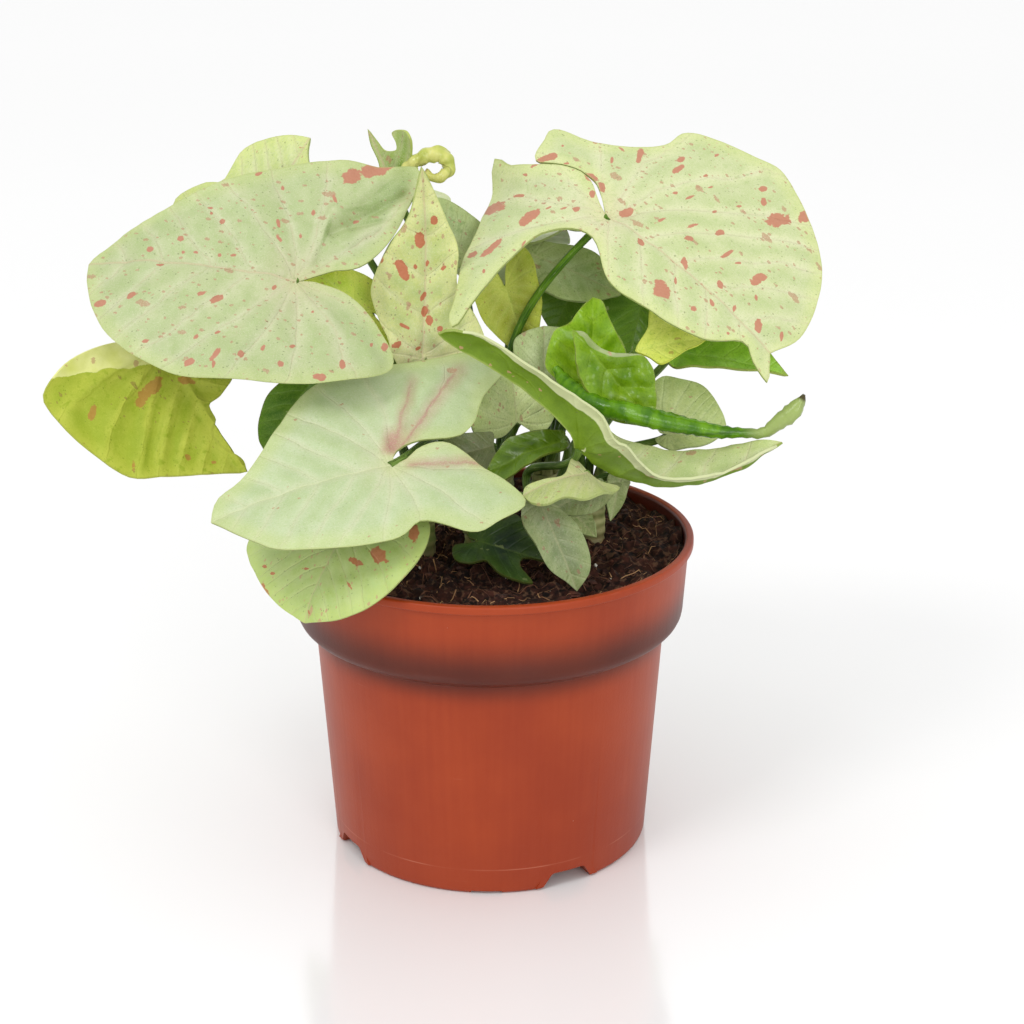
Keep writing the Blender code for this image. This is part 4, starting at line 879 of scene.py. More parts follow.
def along_path(path, points):
    """How far along a path each point lies, in mm, and the way round it, in turns."""
    path = np.asarray(path, dtype=float)
    run = np.concatenate([[0], np.cumsum(np.linalg.norm(np.diff(path, axis=0), axis=1))])
    best, along, turn = np.full(len(points), np.inf), np.zeros(len(points)), np.zeros(len(points))
    for i, (start, end) in enumerate(zip(path, path[1:])):
        edge = end - start
        share = np.clip(((points - start) @ edge) / max(edge @ edge, 1e-9), 0, 1)
        offset = points - start - share[:, None] * edge
        far = np.linalg.norm(offset, axis=1)
        closer = far < best
        side = np.cross(edge, (0.3, 0.9, 0.2))
        side /= np.linalg.norm(side)
        other = np.cross(edge, side) / np.linalg.norm(edge)
        best = np.where(closer, far, best)
        along = np.where(closer, run[i] + share * np.linalg.norm(edge), along)
        turn = np.where(closer, np.arctan2(offset @ other, offset @ side) / (2 * math.pi), turn)
    return along, turn, run[-1]


def rod_piece(name, path, radii, sides, seed, finish):
    """A stalk or a rolled leaf; each point stores how far along and which way round it lies."""
    rod = tube(name, path, radii, sides)
    along, turn, length = along_path(path, points_of(rod.data))
    seeds = np.full(len(along), seed * SEED_SPREAD)
    set_attribute(rod.data, "flat", np.column_stack([along, turn * 8, seeds]))
    set_attribute(rod.data, "veins", np.column_stack([along / length, turn, along]))
    rod.data.materials.append(finish)
    return rod


def leaf_piece(sizes, foot, seed):
    """One whole leaf: blade, stalk and, where it has one, its rolled part."""
    blade = Blade(sizes)
    piece = blade_piece(sizes["name"].replace("leaf_", "") + "_leaf", blade, seed)
    path = blade.stalk_path(foot)
    share = np.linspace(0, 1, len(path))
    radii = STALK_FOOT_RADIUS + (STALK_TOP_RADIUS - STALK_FOOT_RADIUS) * share
    radii = radii + SHEATH_SWELL * np.clip(1 - share / SHEATH_SHARE, 0, 1)
    radii = radii + NECK_SWELL * np.clip((share - 0.9) / 0.1, 0, 1)
    finish = stalk_finish(sizes["name"] + "_stalk", *sizes["stalk"])
    rods = [rod_piece("stalk", path, radii, STALK_SIDES, seed, finish)]
    if sizes["roll"]:
        rolled = even_spline(sizes["roll"], ROLL_STEPS)
        rods.append(rod_piece("roll", rolled[:, :3], rolled[:, 3], ROLL_SIDES, seed,
                             roll_finish(sizes["name"] + "_roll", *sizes["roll_colours"])))
        ripple_roll(rods[-1].data, rolled)
    joined(piece, *rods)
    smooth(piece, LEAF_SHARP_ANGLE)
    show_piece(piece, sizes["name"], sizes["name"])
    return piece


def ripple_roll(mesh, rolled):
    """Raise the winding edge and the creases of a rolled leaf."""
    points = points_of(mesh)
    along, turn, length = along_path(rolled[:, :3], points)
    nearest = np.array([rolled[np.argmin(np.linalg.norm(rolled[:, :3] - p, axis=1)), :3] for p in points])
    out = points - nearest
    reach = np.linalg.norm(out, axis=1)
    out = out / np.maximum(reach, 1e-6)[:, None]
    winding = np.mod(turn + 0.5 + along / length * ROLL_TURNS, 1)
    lift = WINDING_STEP * (winding - 0.5) + CREASE_DEPTH * np.sin(along * 1.9 + turn * 5)
    lift *= np.clip(reach / 1.2, 0, 1)
    move_points(mesh, points + lift[:, None] * out)


# Finishes

def screen_colour(red, green, blue, gain=1):
    """A colour as it looks in the photo, from 0 to 255, turned into the surface's own colour; a gain above
    one paints light into it, one below one paints shade.
    """
    parts = [value / 255 for value in (red, green, blue)]
    light = [v / 12.92 if v < 0.04 else ((v + 0.055) / 1.055) ** 2.4 for v in parts]
    return tuple(min(v * LIGHT_SHARE * gain, BRIGHTEST) for v in light) + (1,)


class Value:
    """What one output of a shader node gives, with sums written as + - * /."""

    def __init__(self, finish, link):
        self.finish, self.link = finish, link

    def __add__(self, other):
        return self.finish.maths("ADD", self, other)

    def __sub__(self, other):
        return self.finish.maths("SUBTRACT", self, other)

    def __rsub__(self, other):
        return self.finish.maths("SUBTRACT", other, self)

    def __mul__(self, other):
        return self.finish.maths("MULTIPLY", self, other)

    def __truediv__(self, other):
        return self.finish.maths("DIVIDE", self, other)

    def __rtruediv__(self, other):
        return self.finish.maths("DIVIDE", other, self)

    __radd__ = __add__
    __rmul__ = __mul__


class Finish:
    """A material, its colour so far, and short ways to add nodes to it."""

    def __init__(self, name, gain=1):
        self.material = bpy.data.materials.new(name)
        self.material.use_nodes = True
        self.tree = self.material.node_tree
        self.shader = self.tree.nodes["Principled BSDF"]
        # gain paints light and shade into every screen colour of this finish.
        self.gain = gain
        self.colour = None

    def node(self, kind, inputs, output=0, **settings):
        """Any node: its settings first, then its inputs as numbers or links."""
        made = self.tree.nodes.new(kind)
        for key, value in settings.items():
            setattr(made, key, value)
        self.feed(made, inputs)
        return Value(self, made.outputs[output])

    def feed(self, made, inputs):
        for key, value in inputs.items():
            if isinstance(value, Value):
                self.tree.links.new(value.link, made.inputs[key])
            else:
                made.inputs[key].default_value = value

    def look(self, **inputs):
        """Set the main shader; an underscore in a name stands for a space."""
        self.feed(self.shader, {"Base Color": self.colour})
        self.feed(self.shader, {key.replace("_", " "): value for key, value in inputs.items()})
        return self.material

    def maths(self, operation, *values):
        return self.node("ShaderNodeMath", dict(enumerate(values)), operation=operation)

    def size(self, value):
        return self.maths("ABSOLUTE", value)

    def ramp(self, value, start, end):
        """Nought up to start, one from end on, smooth between."""
        inputs = {"Value": value, "From Min": start, "From Max": end}
        return self.node("ShaderNodeMapRange", inputs, interpolation_type="SMOOTHSTEP")

    def paint(self, colour):
        """A mixed colour stays as it is; three numbers are a colour as seen on a screen."""
        mixed = isinstance(colour, Value) or len(colour) == 4
        return colour if mixed else screen_colour(*colour, self.gain)

    def mix(self, share, first, second):
        inputs = {0: share, 6: self.paint(first), 7: self.paint(second)}
        return self.node("ShaderNodeMix", inputs, output=2, data_type="RGBA")

    def lay(self, share, colour):
        """One more coat over the colour so far."""
        self.colour = self.mix(share, self.colour, colour)

    def clouds(self, place, scale, detail=3):
        return self.node("ShaderNodeTexNoise", {"Vector": place, "Scale": scale, "Detail": detail})

    def cells(self, place, scale, output=0):
        """How far it is to the middle of a cell, or with output 1 the cell's own three numbers."""
        return self.node("ShaderNodeTexVoronoi", {"Vector": place, "Scale": scale}, output)

    def stored(self, name, output=2):
        """A number (output 2) or a vector (output 1) kept on the mesh."""
        return self.node("ShaderNodeAttribute", {}, output, attribute_name=name)

    def place(self):
        return self.node("ShaderNodeTexCoord", {}, output=3)

    def parts(self, vector):
        first = self.node("ShaderNodeSeparateXYZ", {"Vector": vector})
        return [Value(self, output) for output in first.link.node.outputs]

    def vector(self, x, y, z):
        return self.node("ShaderNodeCombineXYZ", {0: x, 1: y, 2: z})

    def stretch(self, vector, factors):
        return self.node("ShaderNodeVectorMath", {0: vector, 1: factors}, operation="MULTIPLY")

    def bump(self, height, depth):
        """Small relief; height from nought to one, depth in mm."""
        return self.node("ShaderNodeBump", {"Height": height, "Distance": depth * MM, "Strength": 1})


def vein_marks(finish):
    """How far each place lies from the nearest side vein and from the midrib, in mm, and bands
    of light and dark that run along the side veins."""
    flat = finish.stored("flat", 1)
    number, gap, aside = finish.parts(finish.stored("veins", 1))
    number = number + (finish.clouds(flat, 0.07) - 0.5) * 0.6
    from_vein = 0.5 - finish.size(finish.maths("FRACT", number) - 0.5)
    seed = finish.parts(flat)[2]
    bands = finish.clouds(finish.vector(number * 2.6, aside * 0.07, seed), 1, 3)
    return from_vein * gap, aside, bands


def speck_marks(finish, amount, scale, longness):
    """Small painted specks: some cells hold one, and its size differs from cell to cell."""
    flat = finish.stored("flat", 1)
    x, y, seed = finish.parts(flat)
    aside = finish.size(y)
    warp = finish.clouds(flat, scale * 1.9) - 0.5
    along = (x - aside * VEIN_SLANT + warp * 0.9 / scale) * longness
    here = finish.vector(along, aside + x * 0.2 - warp * 0.9 / scale, seed + finish.maths("SIGN", y) * 3)
    chance, spread, _ = finish.parts(finish.cells(here, scale, output=1))
    size = (chance - (1 - amount)) / amount * (0.2 + 0.4 * spread)
    return finish.ramp(size - finish.cells(here, scale), 0, 0.05)


def side_colour(finish, look, light, deep, splashed):
    """One side's colours from the ground up: clouds, veins, flecks, specks, splashes, margin."""
    if not splashed:
        look = look | {"deep_colour": deep, "fleck_colour": deep, "glow_colour": light,
                       "edge_colour": light, "heart_colour": light, "vein_colour": light}
    flat = finish.stored("flat", 1)
    margin, splash = finish.stored("margin"), finish.stored("splash")
    from_vein, from_rib, bands = vein_marks(finish)
    broad, mottle, fine = [finish.clouds(flat, *cloud) for cloud in ((0.035, 4), (0.2, 5), (1.3, 3))]
    tone = broad * 0.9 + mottle * 0.9 + fine * 0.3 + (bands - 0.5) * look["bands"] - 0.57
    finish.colour = finish.mix(finish.ramp(tone, 0.05, 0.9), light, deep)
    # Painted shade: darker ovals in shade_colour, on the upper side when shade_above is true, else on the
    # lower.
    if splashed == look["shade_above"]:
        shaded = finish.ramp(finish.stored("shade") + (mottle - 0.5) * 0.6, 0, 0.7)
        finish.lay(shaded * 0.75, look["shade_colour"])
    between = finish.ramp(from_vein, 0.8, 4.5) * look["quilt_shade"]
    finish.lay(between * (mottle + 0.3), look["deep_colour"])
    glow = 1 - finish.ramp(finish.maths("MINIMUM", from_vein * 1.3, from_rib), 0.2, 2.6)
    finish.lay(glow * look["vein_glow"], look["glow_colour"])
    edge_band = 1 - finish.ramp(margin + (broad - 0.5) * 6, 0.5, 5.5)
    finish.lay(edge_band * look["edge_band"], look["edge_colour"])
    breaks = finish.ramp(finish.clouds(flat, 0.35), 0.36, 0.56)
    side = (1 - finish.ramp(from_vein, 0.1, 0.34)) * breaks * look["veins"]
    rib = (1 - finish.ramp(from_rib, 0.15, 0.5)) * look["midrib"]
    finish.lay(finish.maths("MAXIMUM", side, rib), look["vein_colour"])
    x, y, _ = finish.parts(flat)
    reach = finish.maths("SQRT", x * x + y * y)
    finish.lay((1 - finish.ramp(reach, 2, 15)) * look["heart"], look["heart_colour"])
    for turn, start, end, width, strength in look["streaks"] if splashed else []:
        c, s = math.cos(math.radians(turn)), math.sin(math.radians(turn))
        far = finish.size(y * c - x * s + (mottle - 0.5) * 2.4)
        along = x * c + y * s
        streak = (1 - finish.ramp(far, 0, width)) * finish.ramp(along, start - 1, start + 2)
        finish.lay(streak * (1 - finish.ramp(along, end - 6, end)) * strength, look["streak_colour"])
    grain = finish.ramp(finish.clouds(finish.stretch(flat, (1, 1.6, 1)), 1.7, 3), 0.48, 0.64)
    finish.lay(grain * look["grain"], look["deep_colour"])
    finish.lay(finish.ramp(finish.clouds(flat, 0.5, 4), 0.56, 0.68) * look["flecks"], look["fleck_colour"])
    if look["specks"]:
        for share, scale, longness in ((1, 1, 0.55), (0.5, 0.42, 0.4)):
            marks = speck_marks(finish, look["specks"] * share, scale, longness)
            finish.lay(marks * 0.75, look["speck_colour"])
    powder = finish.ramp(finish.clouds(flat, 2.7, 2), 0.5, 0.68)
    finish.lay(powder * look["powder"], look["glow_colour"])
    finish.lay(speck_marks(finish, 0.16, 2.1, 0.8) * look["pepper"], look["dot_colour"])
    dots = finish.ramp(0.1 - finish.cells(flat, 0.55), 0, 0.04) * finish.ramp(broad, 0.45, 0.6)
    finish.lay(dots * look["dark_dots"], look["dot_colour"])
    ragged = (finish.clouds(flat, 0.4, 2) - 0.5) * 1.4 + (finish.clouds(flat, 1.4, 3) - 0.5) * 0.5
    patch = finish.ramp(splash + ragged, 0, 0.12)
    painted = finish.mix(fine, look["patch_colour"], look["patch_deep_colour"])
    finish.lay(patch * (1 if splashed else look["patch_below"]), painted)
    rim = 1 - finish.ramp(margin + mottle * 0.5, 0.3, 0.75)
    finish.lay(rim * look["rim"], look["rim_colour"])
    ridge = 1 - finish.ramp(finish.maths("MINIMUM", from_vein, from_rib * 0.7), 0, 0.5)
    return ridge, fine, mottle, patch


def leaf_finishes(name, look):
    """The upper and the lower finish of one leaf."""
    finishes = []
    for side, other in (("upper", "lower"), ("lower", "upper")):
        upper = side == "upper"
        # Painted light and shade: the leaf's light gain scales all its colours.
        finish = Finish(f"{name}_{side}", look["light"])
        ridge, fine, mottle, patch = side_colour(finish, look, *look[side], upper)
        if look["flap"][1] or look["rolled_rim"][1]:
            over = finish.ramp(finish.stored("turned") + (mottle - 0.5) * look["turned_wave"], -0.1, 0.25)
            # Painted light: turned_light brightens the colours where the other side shows.
            gain = look["turned_light"]
            back = finish.mix(mottle, screen_colour(*look["turned_colour"], gain),
                              screen_colour(*look[other][0], gain))
            marks = speck_marks(finish, 0.3, 0.5, 0.7) * 0.6
            finish.lay(over, finish.mix(marks, back, screen_colour(*look["turned_speck_colour"])))
        height = fine * 0.3 + mottle * 0.4 + ridge * (-look["relief"] if upper else look["relief"])
        dull = fine * 0.12 + patch * 0.08 + (0 if upper else 0.12)
        finishes.append(finish.look(
            Roughness=dull + look["roughness"], Specular_IOR_Level=look["shine"],
            Normal=finish.bump(height, 0.2)))
    return finishes


def stalk_finish(name, light, deep):
    """A leaf stalk: fine ribs along it, darker towards the stem, pale flecks."""
    finish = Finish(name)
    share, turn, along = finish.parts(finish.stored("veins", 1))
    flat = finish.stored("flat", 1)
    ribs = finish.maths("SINE", turn * 2 * math.pi * 11) * 0.5 + 0.5
    cloud = finish.clouds(finish.stretch(flat, (0.12, 0.6, 1)), 1, 4)
    fleck = finish.ramp(finish.clouds(finish.stretch(flat, (0.5, 1.5, 1)), 1, 3), 0.58, 0.72)
    finish.colour = finish.mix(finish.ramp(cloud + ribs * 0.12 - share * 0.12, 0.3, 0.7), light, deep)
    finish.lay(fleck * 0.25, (206, 210, 150))
    finish.lay((1 - finish.ramp(along + cloud * 3, 2, 9)) * 0.6, (196, 190, 128))
    return finish.look(Roughness=0.34 + cloud * 0.2, Specular_IOR_Level=0.25,
                       Normal=finish.bump(ribs * 0.5 + cloud, 0.12))


def roll_finish(name, light, deep, bulge, end):
    """A young leaf still rolled up: shiny, with a dark winding line of painted shade, paler where it bulges.
    """
    finish = Finish(name)
    share, turn, _ = finish.parts(finish.stored("veins", 1))
    flat = finish.stored("flat", 1)
    cloud, fine = finish.clouds(flat, 0.3, 4), finish.clouds(flat, 1.4, 3)
    seam = finish.size(finish.maths("FRACT", turn + share * ROLL_TURNS) - 0.5)
    finish.colour = finish.mix(finish.ramp(cloud, 0.35, 0.65), light, deep)
    # Painted shade: a winding line in the deep colour at half brightness.
    finish.lay(finish.ramp(seam, 0.44, 0.5) * 0.6, screen_colour(*deep, 0.5))
    finish.lay(finish.ramp(share + (cloud - 0.5) * 0.06, 0.72, 0.82) * 0.8, bulge)
    finish.lay(finish.ramp(share, 0.975, 0.99), end)
    return finish.look(Roughness=0.1 + fine * 0.15, Specular_IOR_Level=0.3,
                       Normal=finish.bump(cloud * 0.8 + fine * 0.4, 0.35))


def pot_finish():
    """Satin brick-red plastic: faint cloudiness, fine grain, light dust and scuffs, and painted shade towards
    the foot and inside the rim.
    """
    finish = Finish("pot_plastic")
    place = finish.place()
    x, y, z = finish.parts(place)
    height = z * 1000
    around = finish.vector(finish.maths("ARCTAN2", y, x) * 60, height, 0)
    cloud, grain = finish.clouds(place, 28, 4), finish.clouds(place, 1400, 2)
    streak = finish.clouds(finish.stretch(around, (0.5, 0.02, 1)), 1, 4)
    finish.colour = finish.mix(finish.ramp(cloud * 0.8 + streak * 0.2, 0.3, 0.7), POT_LIGHT, POT_DEEP)
    chance, size, _ = finish.parts(finish.cells(around, 0.33, output=1))
    dust = finish.ramp((chance - 0.9) * 0.9 * size - finish.cells(around, 0.33), 0, 0.03)
    scuff = finish.ramp(finish.clouds(finish.stretch(around, (0.08, 1.1, 1)), 1, 4), 0.68, 0.76)
    finish.lay(dust * 0.5, (214, 150, 126))
    finish.lay(scuff * 0.1, (206, 130, 104))
    # Painted shade: darker towards the foot, near the floor.
    finish.lay((1 - finish.ramp(height, 2, 26)) * 0.3, (150, 54, 30))
    reach = finish.maths("SQRT", x * x + y * y) * 1000
    # Painted shade on the inside of the wall near the top; the same mask also darkens the outside round the
    # shoulder, where the pot is narrower than the mask's outer radius.
    painted_inner_shade = finish.ramp(height, 60, 70) * (1 - finish.ramp(reach, BAND_TOP_RADIUS - WALL, LIP_RADIUS - 1.8))
    finish.lay(painted_inner_shade * (0.7 + 0.3 * cloud), (72, 28, 18))
    seam = 1 - finish.ramp(finish.size(height - PARTING_LINE_Z), 0.1, 0.26)
    seam = seam * finish.ramp(finish.clouds(finish.stretch(around, (0.03, 0, 1)), 1, 2), 0.42, 0.6)
    finish.lay(seam * 0.4, (214, 132, 104))
    return finish.look(Roughness=0.34 + streak * 0.06 + cloud * 0.08, Specular_IOR_Level=0.26,
                       Normal=finish.bump(grain * 0.6 + streak * 0.3 + dust * 2, 0.05))


def soil_finish():
    """Dark, damp coir and peat."""
    finish = Finish("potting_soil")
    place = finish.place()
    lump, crumb, grit = finish.clouds(place, 90, 5), finish.clouds(place, 420, 5), finish.cells(place, 650)
    finish.colour = finish.mix(finish.ramp(crumb, 0.35, 0.7), (20, 10, 8), (76, 42, 32))
    finish.lay(finish.ramp(lump, 0.45, 0.75) * 0.5, (88, 46, 32))
    finish.lay(finish.ramp(grit, 0.62, 0.8) * 0.4, (140, 104, 80))
    return finish.look(Roughness=0.8 + crumb * 0.2, Specular_IOR_Level=0.2,
                       Normal=finish.bump(crumb + grit * 0.5, 0.7))


def fibre_finish(name, light, deep):
    finish = Finish(name)
    place = finish.place()
    cloud = finish.clouds(place, 260, 3)
    finish.colour = finish.mix(finish.ramp(cloud, 0.3, 0.7), light, deep)
    return finish.look(Roughness=0.7 + cloud * 0.2, Normal=finish.bump(finish.clouds(place, 1500, 3), 0.15))


def stem_finish():
    """A short stem: pale yellow green with darker rings and brown, dry patches."""
    finish = Finish("stem")
    place = finish.place()
    height = finish.parts(place)[2] * 1000
    cloud, fine = finish.clouds(place, 120, 4), finish.clouds(place, 700, 3)
    rings = finish.maths("SINE", height * 2.1 + cloud * 5) * 0.5 + 0.5
    finish.colour = finish.mix(finish.ramp(cloud + rings * 0.15, 0.35, 0.75), (196, 194, 128), (122, 138, 62))
    finish.lay(finish.ramp(fine, 0.6, 0.72) * 0.5, (112, 78, 48))
    finish.lay((1 - finish.ramp(height + cloud * 4, SOIL_TOP, SOIL_TOP + 6)) * 0.6, (96, 66, 44))
    return finish.look(Roughness=0.5 + fine * 0.2, Normal=finish.bump(rings * 0.4 + fine * 0.6, 0.3))


# Pot and soil

def rounded(corners):
    """A half section with its corners rounded; each corner is (radius, height, rounding)."""
    line = [corners[0][:2]]
    for before, here, after in zip(corners, corners[1:], corners[2:]):
        place = np.array(here[:2], dtype=float)
        back, ahead = np.array(before[:2]) - place, np.array(after[:2]) - place
        cut = min(here[2], 0.45 * np.linalg.norm(back), 0.45 * np.linalg.norm(ahead))
        start, end = place + unit(back) * cut, place + unit(ahead) * cut
        if cut < 0.01:
            line.append(tuple(place))
            continue
        for t in np.linspace(0, 1, ROUNDING_STEPS):
            line.append(tuple((1 - t) ** 2 * start + 2 * t * (1 - t) * place + t * t * end))
    return line + [corners[-1][:2]]


def revolved(name, section, sides):
    """A solid of revolution from a half section given as (radius, height)."""
    mesh = bpy.data.meshes.new(name)
    points = [(radius * MM, 0, height * MM) for radius, height in section]
    mesh.from_pydata(points, [(i, i + 1) for i in range(len(points) - 1)], [])
    thing = new_piece(name, mesh)
    screw = thing.modifiers.new("Turn", "SCREW")
    screw.steps = screw.render_steps = sides
    screw.use_merge_vertices = True
    screw.merge_threshold = 1e-6
    apply_modifier(thing, screw)
    face_out(thing)
    return thing


def combine(thing, operation, others):
    """Join the others to an object, or cut them out of it, and drop them."""
    for other in others:
        boolean = thing.modifiers.new("Combine", "BOOLEAN")
        boolean.operation = operation
        boolean.solver = "EXACT"
        boolean.object = other
        apply_modifier(thing, boolean)
    select_only(*others)
    bpy.ops.object.delete()


def inner_wall(clearance):
    """The inside of the pot's wall from the lip down, as (radius, height, rounding)."""
    inset = WALL + clearance
    return [
        (BAND_TOP_RADIUS - inset, SOIL_TOP, 0),
        (BAND_FOOT_RADIUS - inset, SHOULDER_Z + clearance, 2),
        (BODY_TOP_RADIUS - inset, STEP_Z + 0.2 + clearance, 1),
        (FOOT_RADIUS - inset, FLOOR + clearance, 1.5),
    ]


def pot_section():
    lip_foot = POT_HEIGHT - LIP_HEIGHT
    lip = [
        (BAND_TOP_RADIUS - WALL + 0.1, POT_HEIGHT - 0.8, 0.3),
        (BAND_TOP_RADIUS - WALL + 0.6, POT_HEIGHT, 0.5), (LIP_RADIUS, POT_HEIGHT, 0.7),
        (LIP_RADIUS, lip_foot, 0.5),
    ]
    outside = [
        (BAND_TOP_RADIUS, lip_foot, 0.4), (BAND_FOOT_RADIUS, SHOULDER_Z - 0.9, SHOULDER_ROUND),
        (BODY_TOP_RADIUS, STEP_Z, 0.5), (FOOT_RADIUS, FOOT_CHAMFER, 0.5),
        (FOOT_RADIUS - FOOT_CHAMFER, 0, 0.4), (0, 0, 0),
    ]
    return rounded([(0, FLOOR, 0)] + inner_wall(0)[::-1] + lip + outside)


def bar(name, turn, start, end, low, high, foot_width, top_width, rounding=0):
    """A long block with sloped sides that runs outwards along one direction."""
    bpy.ops.mesh.primitive_cube_add(size=1)
    thing = bpy.context.object
    thing.name = name
    for vertex in thing.data.vertices:
        width = top_width if vertex.co.z > 0 else foot_width
        along = end if vertex.co.x > 0 else start
        height = high if vertex.co.z > 0 else low
        vertex.co = (along * MM, vertex.co.y * width * MM, height * MM)
    if rounding:
        edges = thing.modifiers.new("Rounding", "BEVEL")
        edges.width = rounding * MM
        edges.segments = 4
        edges.limit_method = "ANGLE"
        apply_modifier(thing, edges)
    select_only(thing)
    bpy.ops.transform.rotate(value=-turn, orient_axis="Z", center_override=(0, 0, 0))
    bpy.ops.object.transform_apply(location=True, rotation=True, scale=True)
    return thing


def round_bar(name, centre, radius, low, high, sides):
    """An upright cylinder, given by its ends' heights."""
    middle = (centre[0] * MM, centre[1] * MM, (high + low) / 2 * MM)
    bpy.ops.mesh.primitive_cylinder_add(
        vertices=sides, radius=radius * MM, depth=(high - low) * MM, location=middle)
    thing = bpy.context.object
    thing.name = name
    bpy.ops.object.transform_apply(location=True, rotation=True, scale=True)
    return thing


def channel_turns():
    return [math.radians(CHANNEL_TURN + i * 360 / CHANNEL_COUNT) for i in range(CHANNEL_COUNT)]


def channel_roofs(clearance):
    """The outsides of the four raised channels, as seen from inside the pot."""
    top = CHANNEL_HEIGHT + FLOOR + clearance
    foot = NOTCH_WIDTH + 2 * (WALL + clearance)
    crest = CHANNEL_WIDTH + 2 * (WALL + clearance)
    start = CHANNEL_START - WALL - clearance
    return [
        bar(f"roof_{i}", turn, start, FOOT_RADIUS - WALL / 2, FLOOR / 2, top, foot, crest)
        for i, turn in enumerate(channel_turns())
    ]


def make_pot():
    pot = revolved("nursery_pot", pot_section(), POT_SIDES)
    combine(pot, "UNION", channel_roofs(0))
    cuts = []
    for i, turn in enumerate(channel_turns()):
        cuts.append(bar(f"channel_{i}", turn, CHANNEL_START, FOOT_RADIUS + CUT_BEYOND, -1, CHANNEL_HEIGHT,
                        NOTCH_WIDTH, CHANNEL_WIDTH, 0.9))
        slot_turn = turn + math.radians(SLOT_TURN - CHANNEL_TURN)
        cuts.append(bar(f"slot_{i}", slot_turn, FOOT_RADIUS - SLOT_REACH, FOOT_RADIUS + CUT_BEYOND, -1,
                        SLOT_HEIGHT, SLOT_WIDTH, SLOT_WIDTH, 0.3))
        for j, reach in enumerate(DRAIN_PLACES):
            centre = (reach * math.cos(turn), reach * math.sin(turn))
            cuts.append(round_bar(f"drain_{i}_{j}", centre, DRAIN_RADIUS, 1, 9, DRAIN_SIDES))
    combine(pot, "DIFFERENCE", cuts)
    face_out(pot)
    pot.data.materials.clear()
    pot.data.materials.append(pot_finish())
    smooth(pot, POT_SHARP_ANGLE)
    show_piece(pot, "pot", "pot")


def soil_height(x, y):
    """How high the soil's top lies above its mean level, in mm."""
    coarse = math.sin(x / 7.3 + 0.6) * math.cos(y / 8.9 - 0.4)
    wide = math.sin(x / 3.1 + y / 4.3)
    crumbs = noise.turbulence((x / 5, y / 5, 3.1), 4, False, amplitude_scale=0.62, frequency_scale=2.3)
    grains = noise.noise((x / 0.9, y / 0.9, 7.7))
    heap = SOIL_HEAP * (math.hypot(x, y) / SOIL_RADIUS) ** 5
    return SOIL_LUMP * (0.65 * coarse + 0.35 * wide) + SOIL_CRUMB * (crumbs - 0.5) + 0.3 * grains + heap


def make_soil():
    """The soil's body with a crumbly top, and the fibres, chips and white grains that lie on it."""
    wall = inner_wall(TOUCH_GAP)
    edge = wall[0][0]
    rings = [(r, SOIL_LEVEL) for r in np.linspace(0, edge, round(edge / SOIL_GRAIN) + 1)]
    section = [tuple(ring) for ring in rings] + [corner[:2] for corner in wall[1:]]
    soil = revolved("soil_body", section + [(0, FLOOR + TOUCH_GAP)], SOIL_SIDES)
    for vertex in soil.data.vertices:
        if vertex.co.z > (SOIL_LEVEL - 1) * MM:
            vertex.co.z += soil_height(vertex.co.x / MM, vertex.co.y / MM) * MM
    combine(soil, "DIFFERENCE", channel_roofs(TOUCH_GAP))
    soil.data.materials.clear()
    soil.data.materials.append(soil_finish())
    finishes = [
        fibre_finish("coir_fibre", (132, 84, 56), (70, 38, 26)),
        fibre_finish("pale_fibre", (206, 160, 110), (144, 98, 62)),
        fibre_finish("bark_chip", (112, 58, 38), (52, 26, 18)),
        fibre_finish("perlite", (232, 228, 216), (196, 188, 172)),
    ]
    scatter = [(soil_fibre, FIBRE_COUNT, finishes[0]), (soil_fibre, PALE_FIBRE_COUNT, finishes[1]),
               (soil_chip, CHIP_COUNT, finishes[2]), (soil_grain, PERLITE_COUNT, finishes[3])]
    chance = np.random.default_rng(SCATTER_SEED)
    bits = []
    for make, count, finish in scatter:
        for _ in range(count):
            reach, turn = edge * SCATTER_SHARE * math.sqrt(chance.random()), chance.uniform(0, 2 * math.pi)
            bit = make(reach * math.cos(turn), reach * math.sin(turn), chance)
            bit.data.materials.append(finish)
            bits.append(bit)
    joined(soil, *bits)
    soil.name = "potting_soil"
    smooth(soil, SOIL_SHARP_ANGLE)
    show_piece(soil, "soil", "soil")


def soil_fibre(x, y, chance):
    """A thin curved coir fibre lying on the soil, one end sometimes raised."""
    length, turn = chance.uniform(3, 15), chance.uniform(0, 2 * math.pi)
    radius = FIBRE_RADIUS * chance.uniform(0.5, 1)
    bend = chance.normal(0, 0.16)
    lift = chance.uniform(0.2, 2.2) if chance.random() < 0.25 else 0.2
    path, radii = [], []
    for share in np.linspace(0, 1, FIBRE_STEPS + 1):
        limit = BAND_TOP_RADIUS - WALL - FIBRE_CLEARANCE
        reach = min(1, limit / max(math.hypot(x, y), 1e-6))
        x, y = x * reach, y * reach
        path.append((x, y, SOIL_LEVEL + soil_height(x, y) + 0.15 + lift * share ** 2))
        radii.append(radius * (1 - 0.6 * share))
        turn += bend
        x, y = x + length / FIBRE_STEPS * math.cos(turn), y + length / FIBRE_STEPS * math.sin(turn)
    return tube("fibre", path, radii, 6)


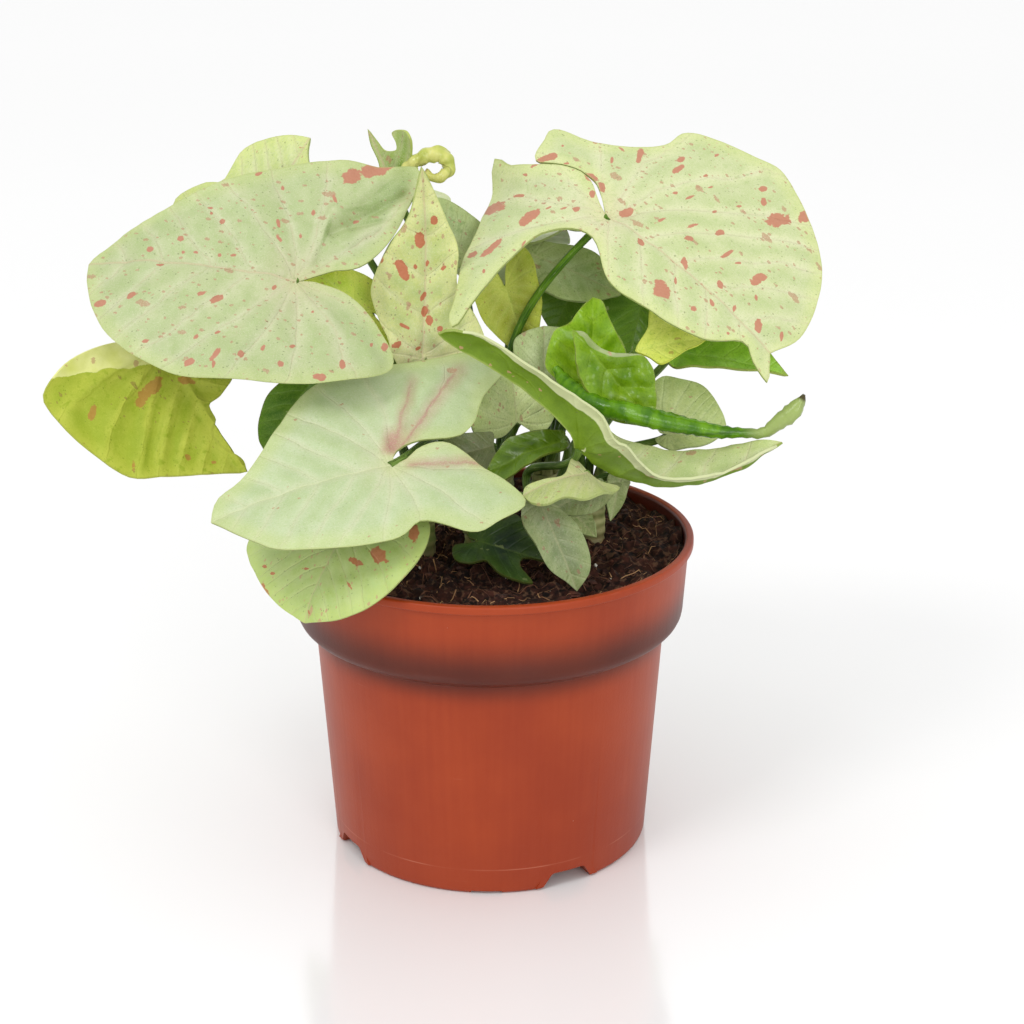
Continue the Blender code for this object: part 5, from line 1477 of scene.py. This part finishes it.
def rough_bit(name, x, y, size, flatness, chance):
    bpy.ops.mesh.primitive_ico_sphere_add(subdivisions=2, radius=size * MM)
    bit = bpy.context.object
    bit.name = name
    shift = chance.uniform(0, 50)
    c, s = math.cos(shift), math.sin(shift)
    for vertex in bit.data.vertices:
        swell = 1 + 0.9 * noise.noise(vertex.co / (size * MM) * 1.6 + Vector((shift, 0, 0)))
        px, py = vertex.co.x * swell, vertex.co.y * swell * 0.6
        height = vertex.co.z * swell * flatness
        vertex.co = (px * c - py * s + x * MM, px * s + py * c + y * MM,
                     height + (SOIL_LEVEL + soil_height(x, y) + 0.3 * size) * MM)
    return bit


def soil_chip(x, y, chance):
    return rough_bit("chip", x, y, chance.uniform(0.4, 1.7), 0.35, chance)


def soil_grain(x, y, chance):
    return rough_bit("grain", x, y, chance.uniform(0.4, 0.8), 0.8, chance)


def make_stem(name, finish):
    """A short stem: swollen joints with thin dry sheath edges round them."""
    x, y, top = STEMS[name]
    low = SOIL_TOP - STEM_DEPTH
    section = [(0, top, 0), (STEM_RADIUS, top, 1)]
    height, count = top - 2, 0
    while height > SOIL_TOP - 4:
        swell = JOINT_SWELL if count % 2 else 0
        section.append((STEM_RADIUS - JOINT_DEPTH + swell, height, 0.5))
        height, count = height - JOINT_GAP, count + 1
    section += [(STEM_RADIUS - 0.5, SOIL_TOP - 5, 0.5), (STEM_FOOT_RADIUS, low, 0.5), (0, low, 0)]
    stem = revolved("short_stem_" + name, rounded(section), STEM_SIDES)
    for vertex in stem.data.vertices:
        turn = math.atan2(vertex.co.y, vertex.co.x)
        ripple = 0.12 * noise.noise((math.cos(turn) * 2, math.sin(turn) * 2, vertex.co.z / MM / 3 + x))
        share = 1 + ripple * (vertex.co.z < (top - 1.5) * MM)
        vertex.co.x = vertex.co.x * min(share, 1.02) + x * MM
        vertex.co.y = vertex.co.y * min(share, 1.02) + y * MM
    stem.data.materials.append(finish)
    smooth(stem, STEM_SHARP_ANGLE)
    show_piece(stem, "stem_" + name, "stem_" + name)


# Setting

def make_floor():
    bpy.ops.mesh.primitive_plane_add(size=FLOOR_SIZE)
    floor = bpy.context.object
    floor.name = "studio_floor"
    finish = Finish("pale_floor")
    finish.colour = FLOOR_COLOUR
    floor.data.materials.append(finish.look(Roughness=0.12, IOR=FLOOR_SHINE))


def make_light():
    world = bpy.data.worlds.new("studio")
    world.use_nodes = True
    sky = world.node_tree.nodes["Background"].inputs
    sky["Color"].default_value = (1, 1, 1, 1)
    sky["Strength"].default_value = SKY_STRENGTH
    bpy.context.scene.world = world
    for name, place, size, power in SOFT_LIGHTS:
        lamp = bpy.data.lights.new(name, "AREA")
        lamp.shape = "SQUARE"
        lamp.size = size
        lamp.energy = power
        light = bpy.data.objects.new(name, lamp)
        light.location = place
        light.rotation_euler = (Vector(LIGHT_AIM) - Vector(place)).to_track_quat("-Z", "Y").to_euler()
        bpy.context.scene.collection.objects.link(light)


def make_camera():
    lens = bpy.data.cameras.new("camera")
    lens.sensor_width = SENSOR_WIDTH
    lens.lens = FOCAL_PIXELS / PHOTO_PIXELS * SENSOR_WIDTH
    camera = bpy.data.objects.new("camera", lens)
    place, aim = Vector(CAMERA_PLACE) * MM, Vector(CAMERA_AIM) * MM
    camera.location = place
    camera.rotation_euler = (aim - place).to_track_quat("-Z", "Y").to_euler()
    bpy.context.scene.collection.objects.link(camera)
    bpy.context.scene.camera = camera
    bpy.context.scene.view_settings.view_transform = "Standard"


make_pot()
make_soil()
shared_stem = stem_finish()
for stem_name in STEMS:
    make_stem(stem_name, shared_stem)
stalk_places = stalk_feet(LEAVES)
for index, leaf_sizes in enumerate(LEAVES):
    leaf_piece(leaf_sizes, stalk_places[leaf_sizes["name"]], index)
make_floor()
make_light()
make_camera()
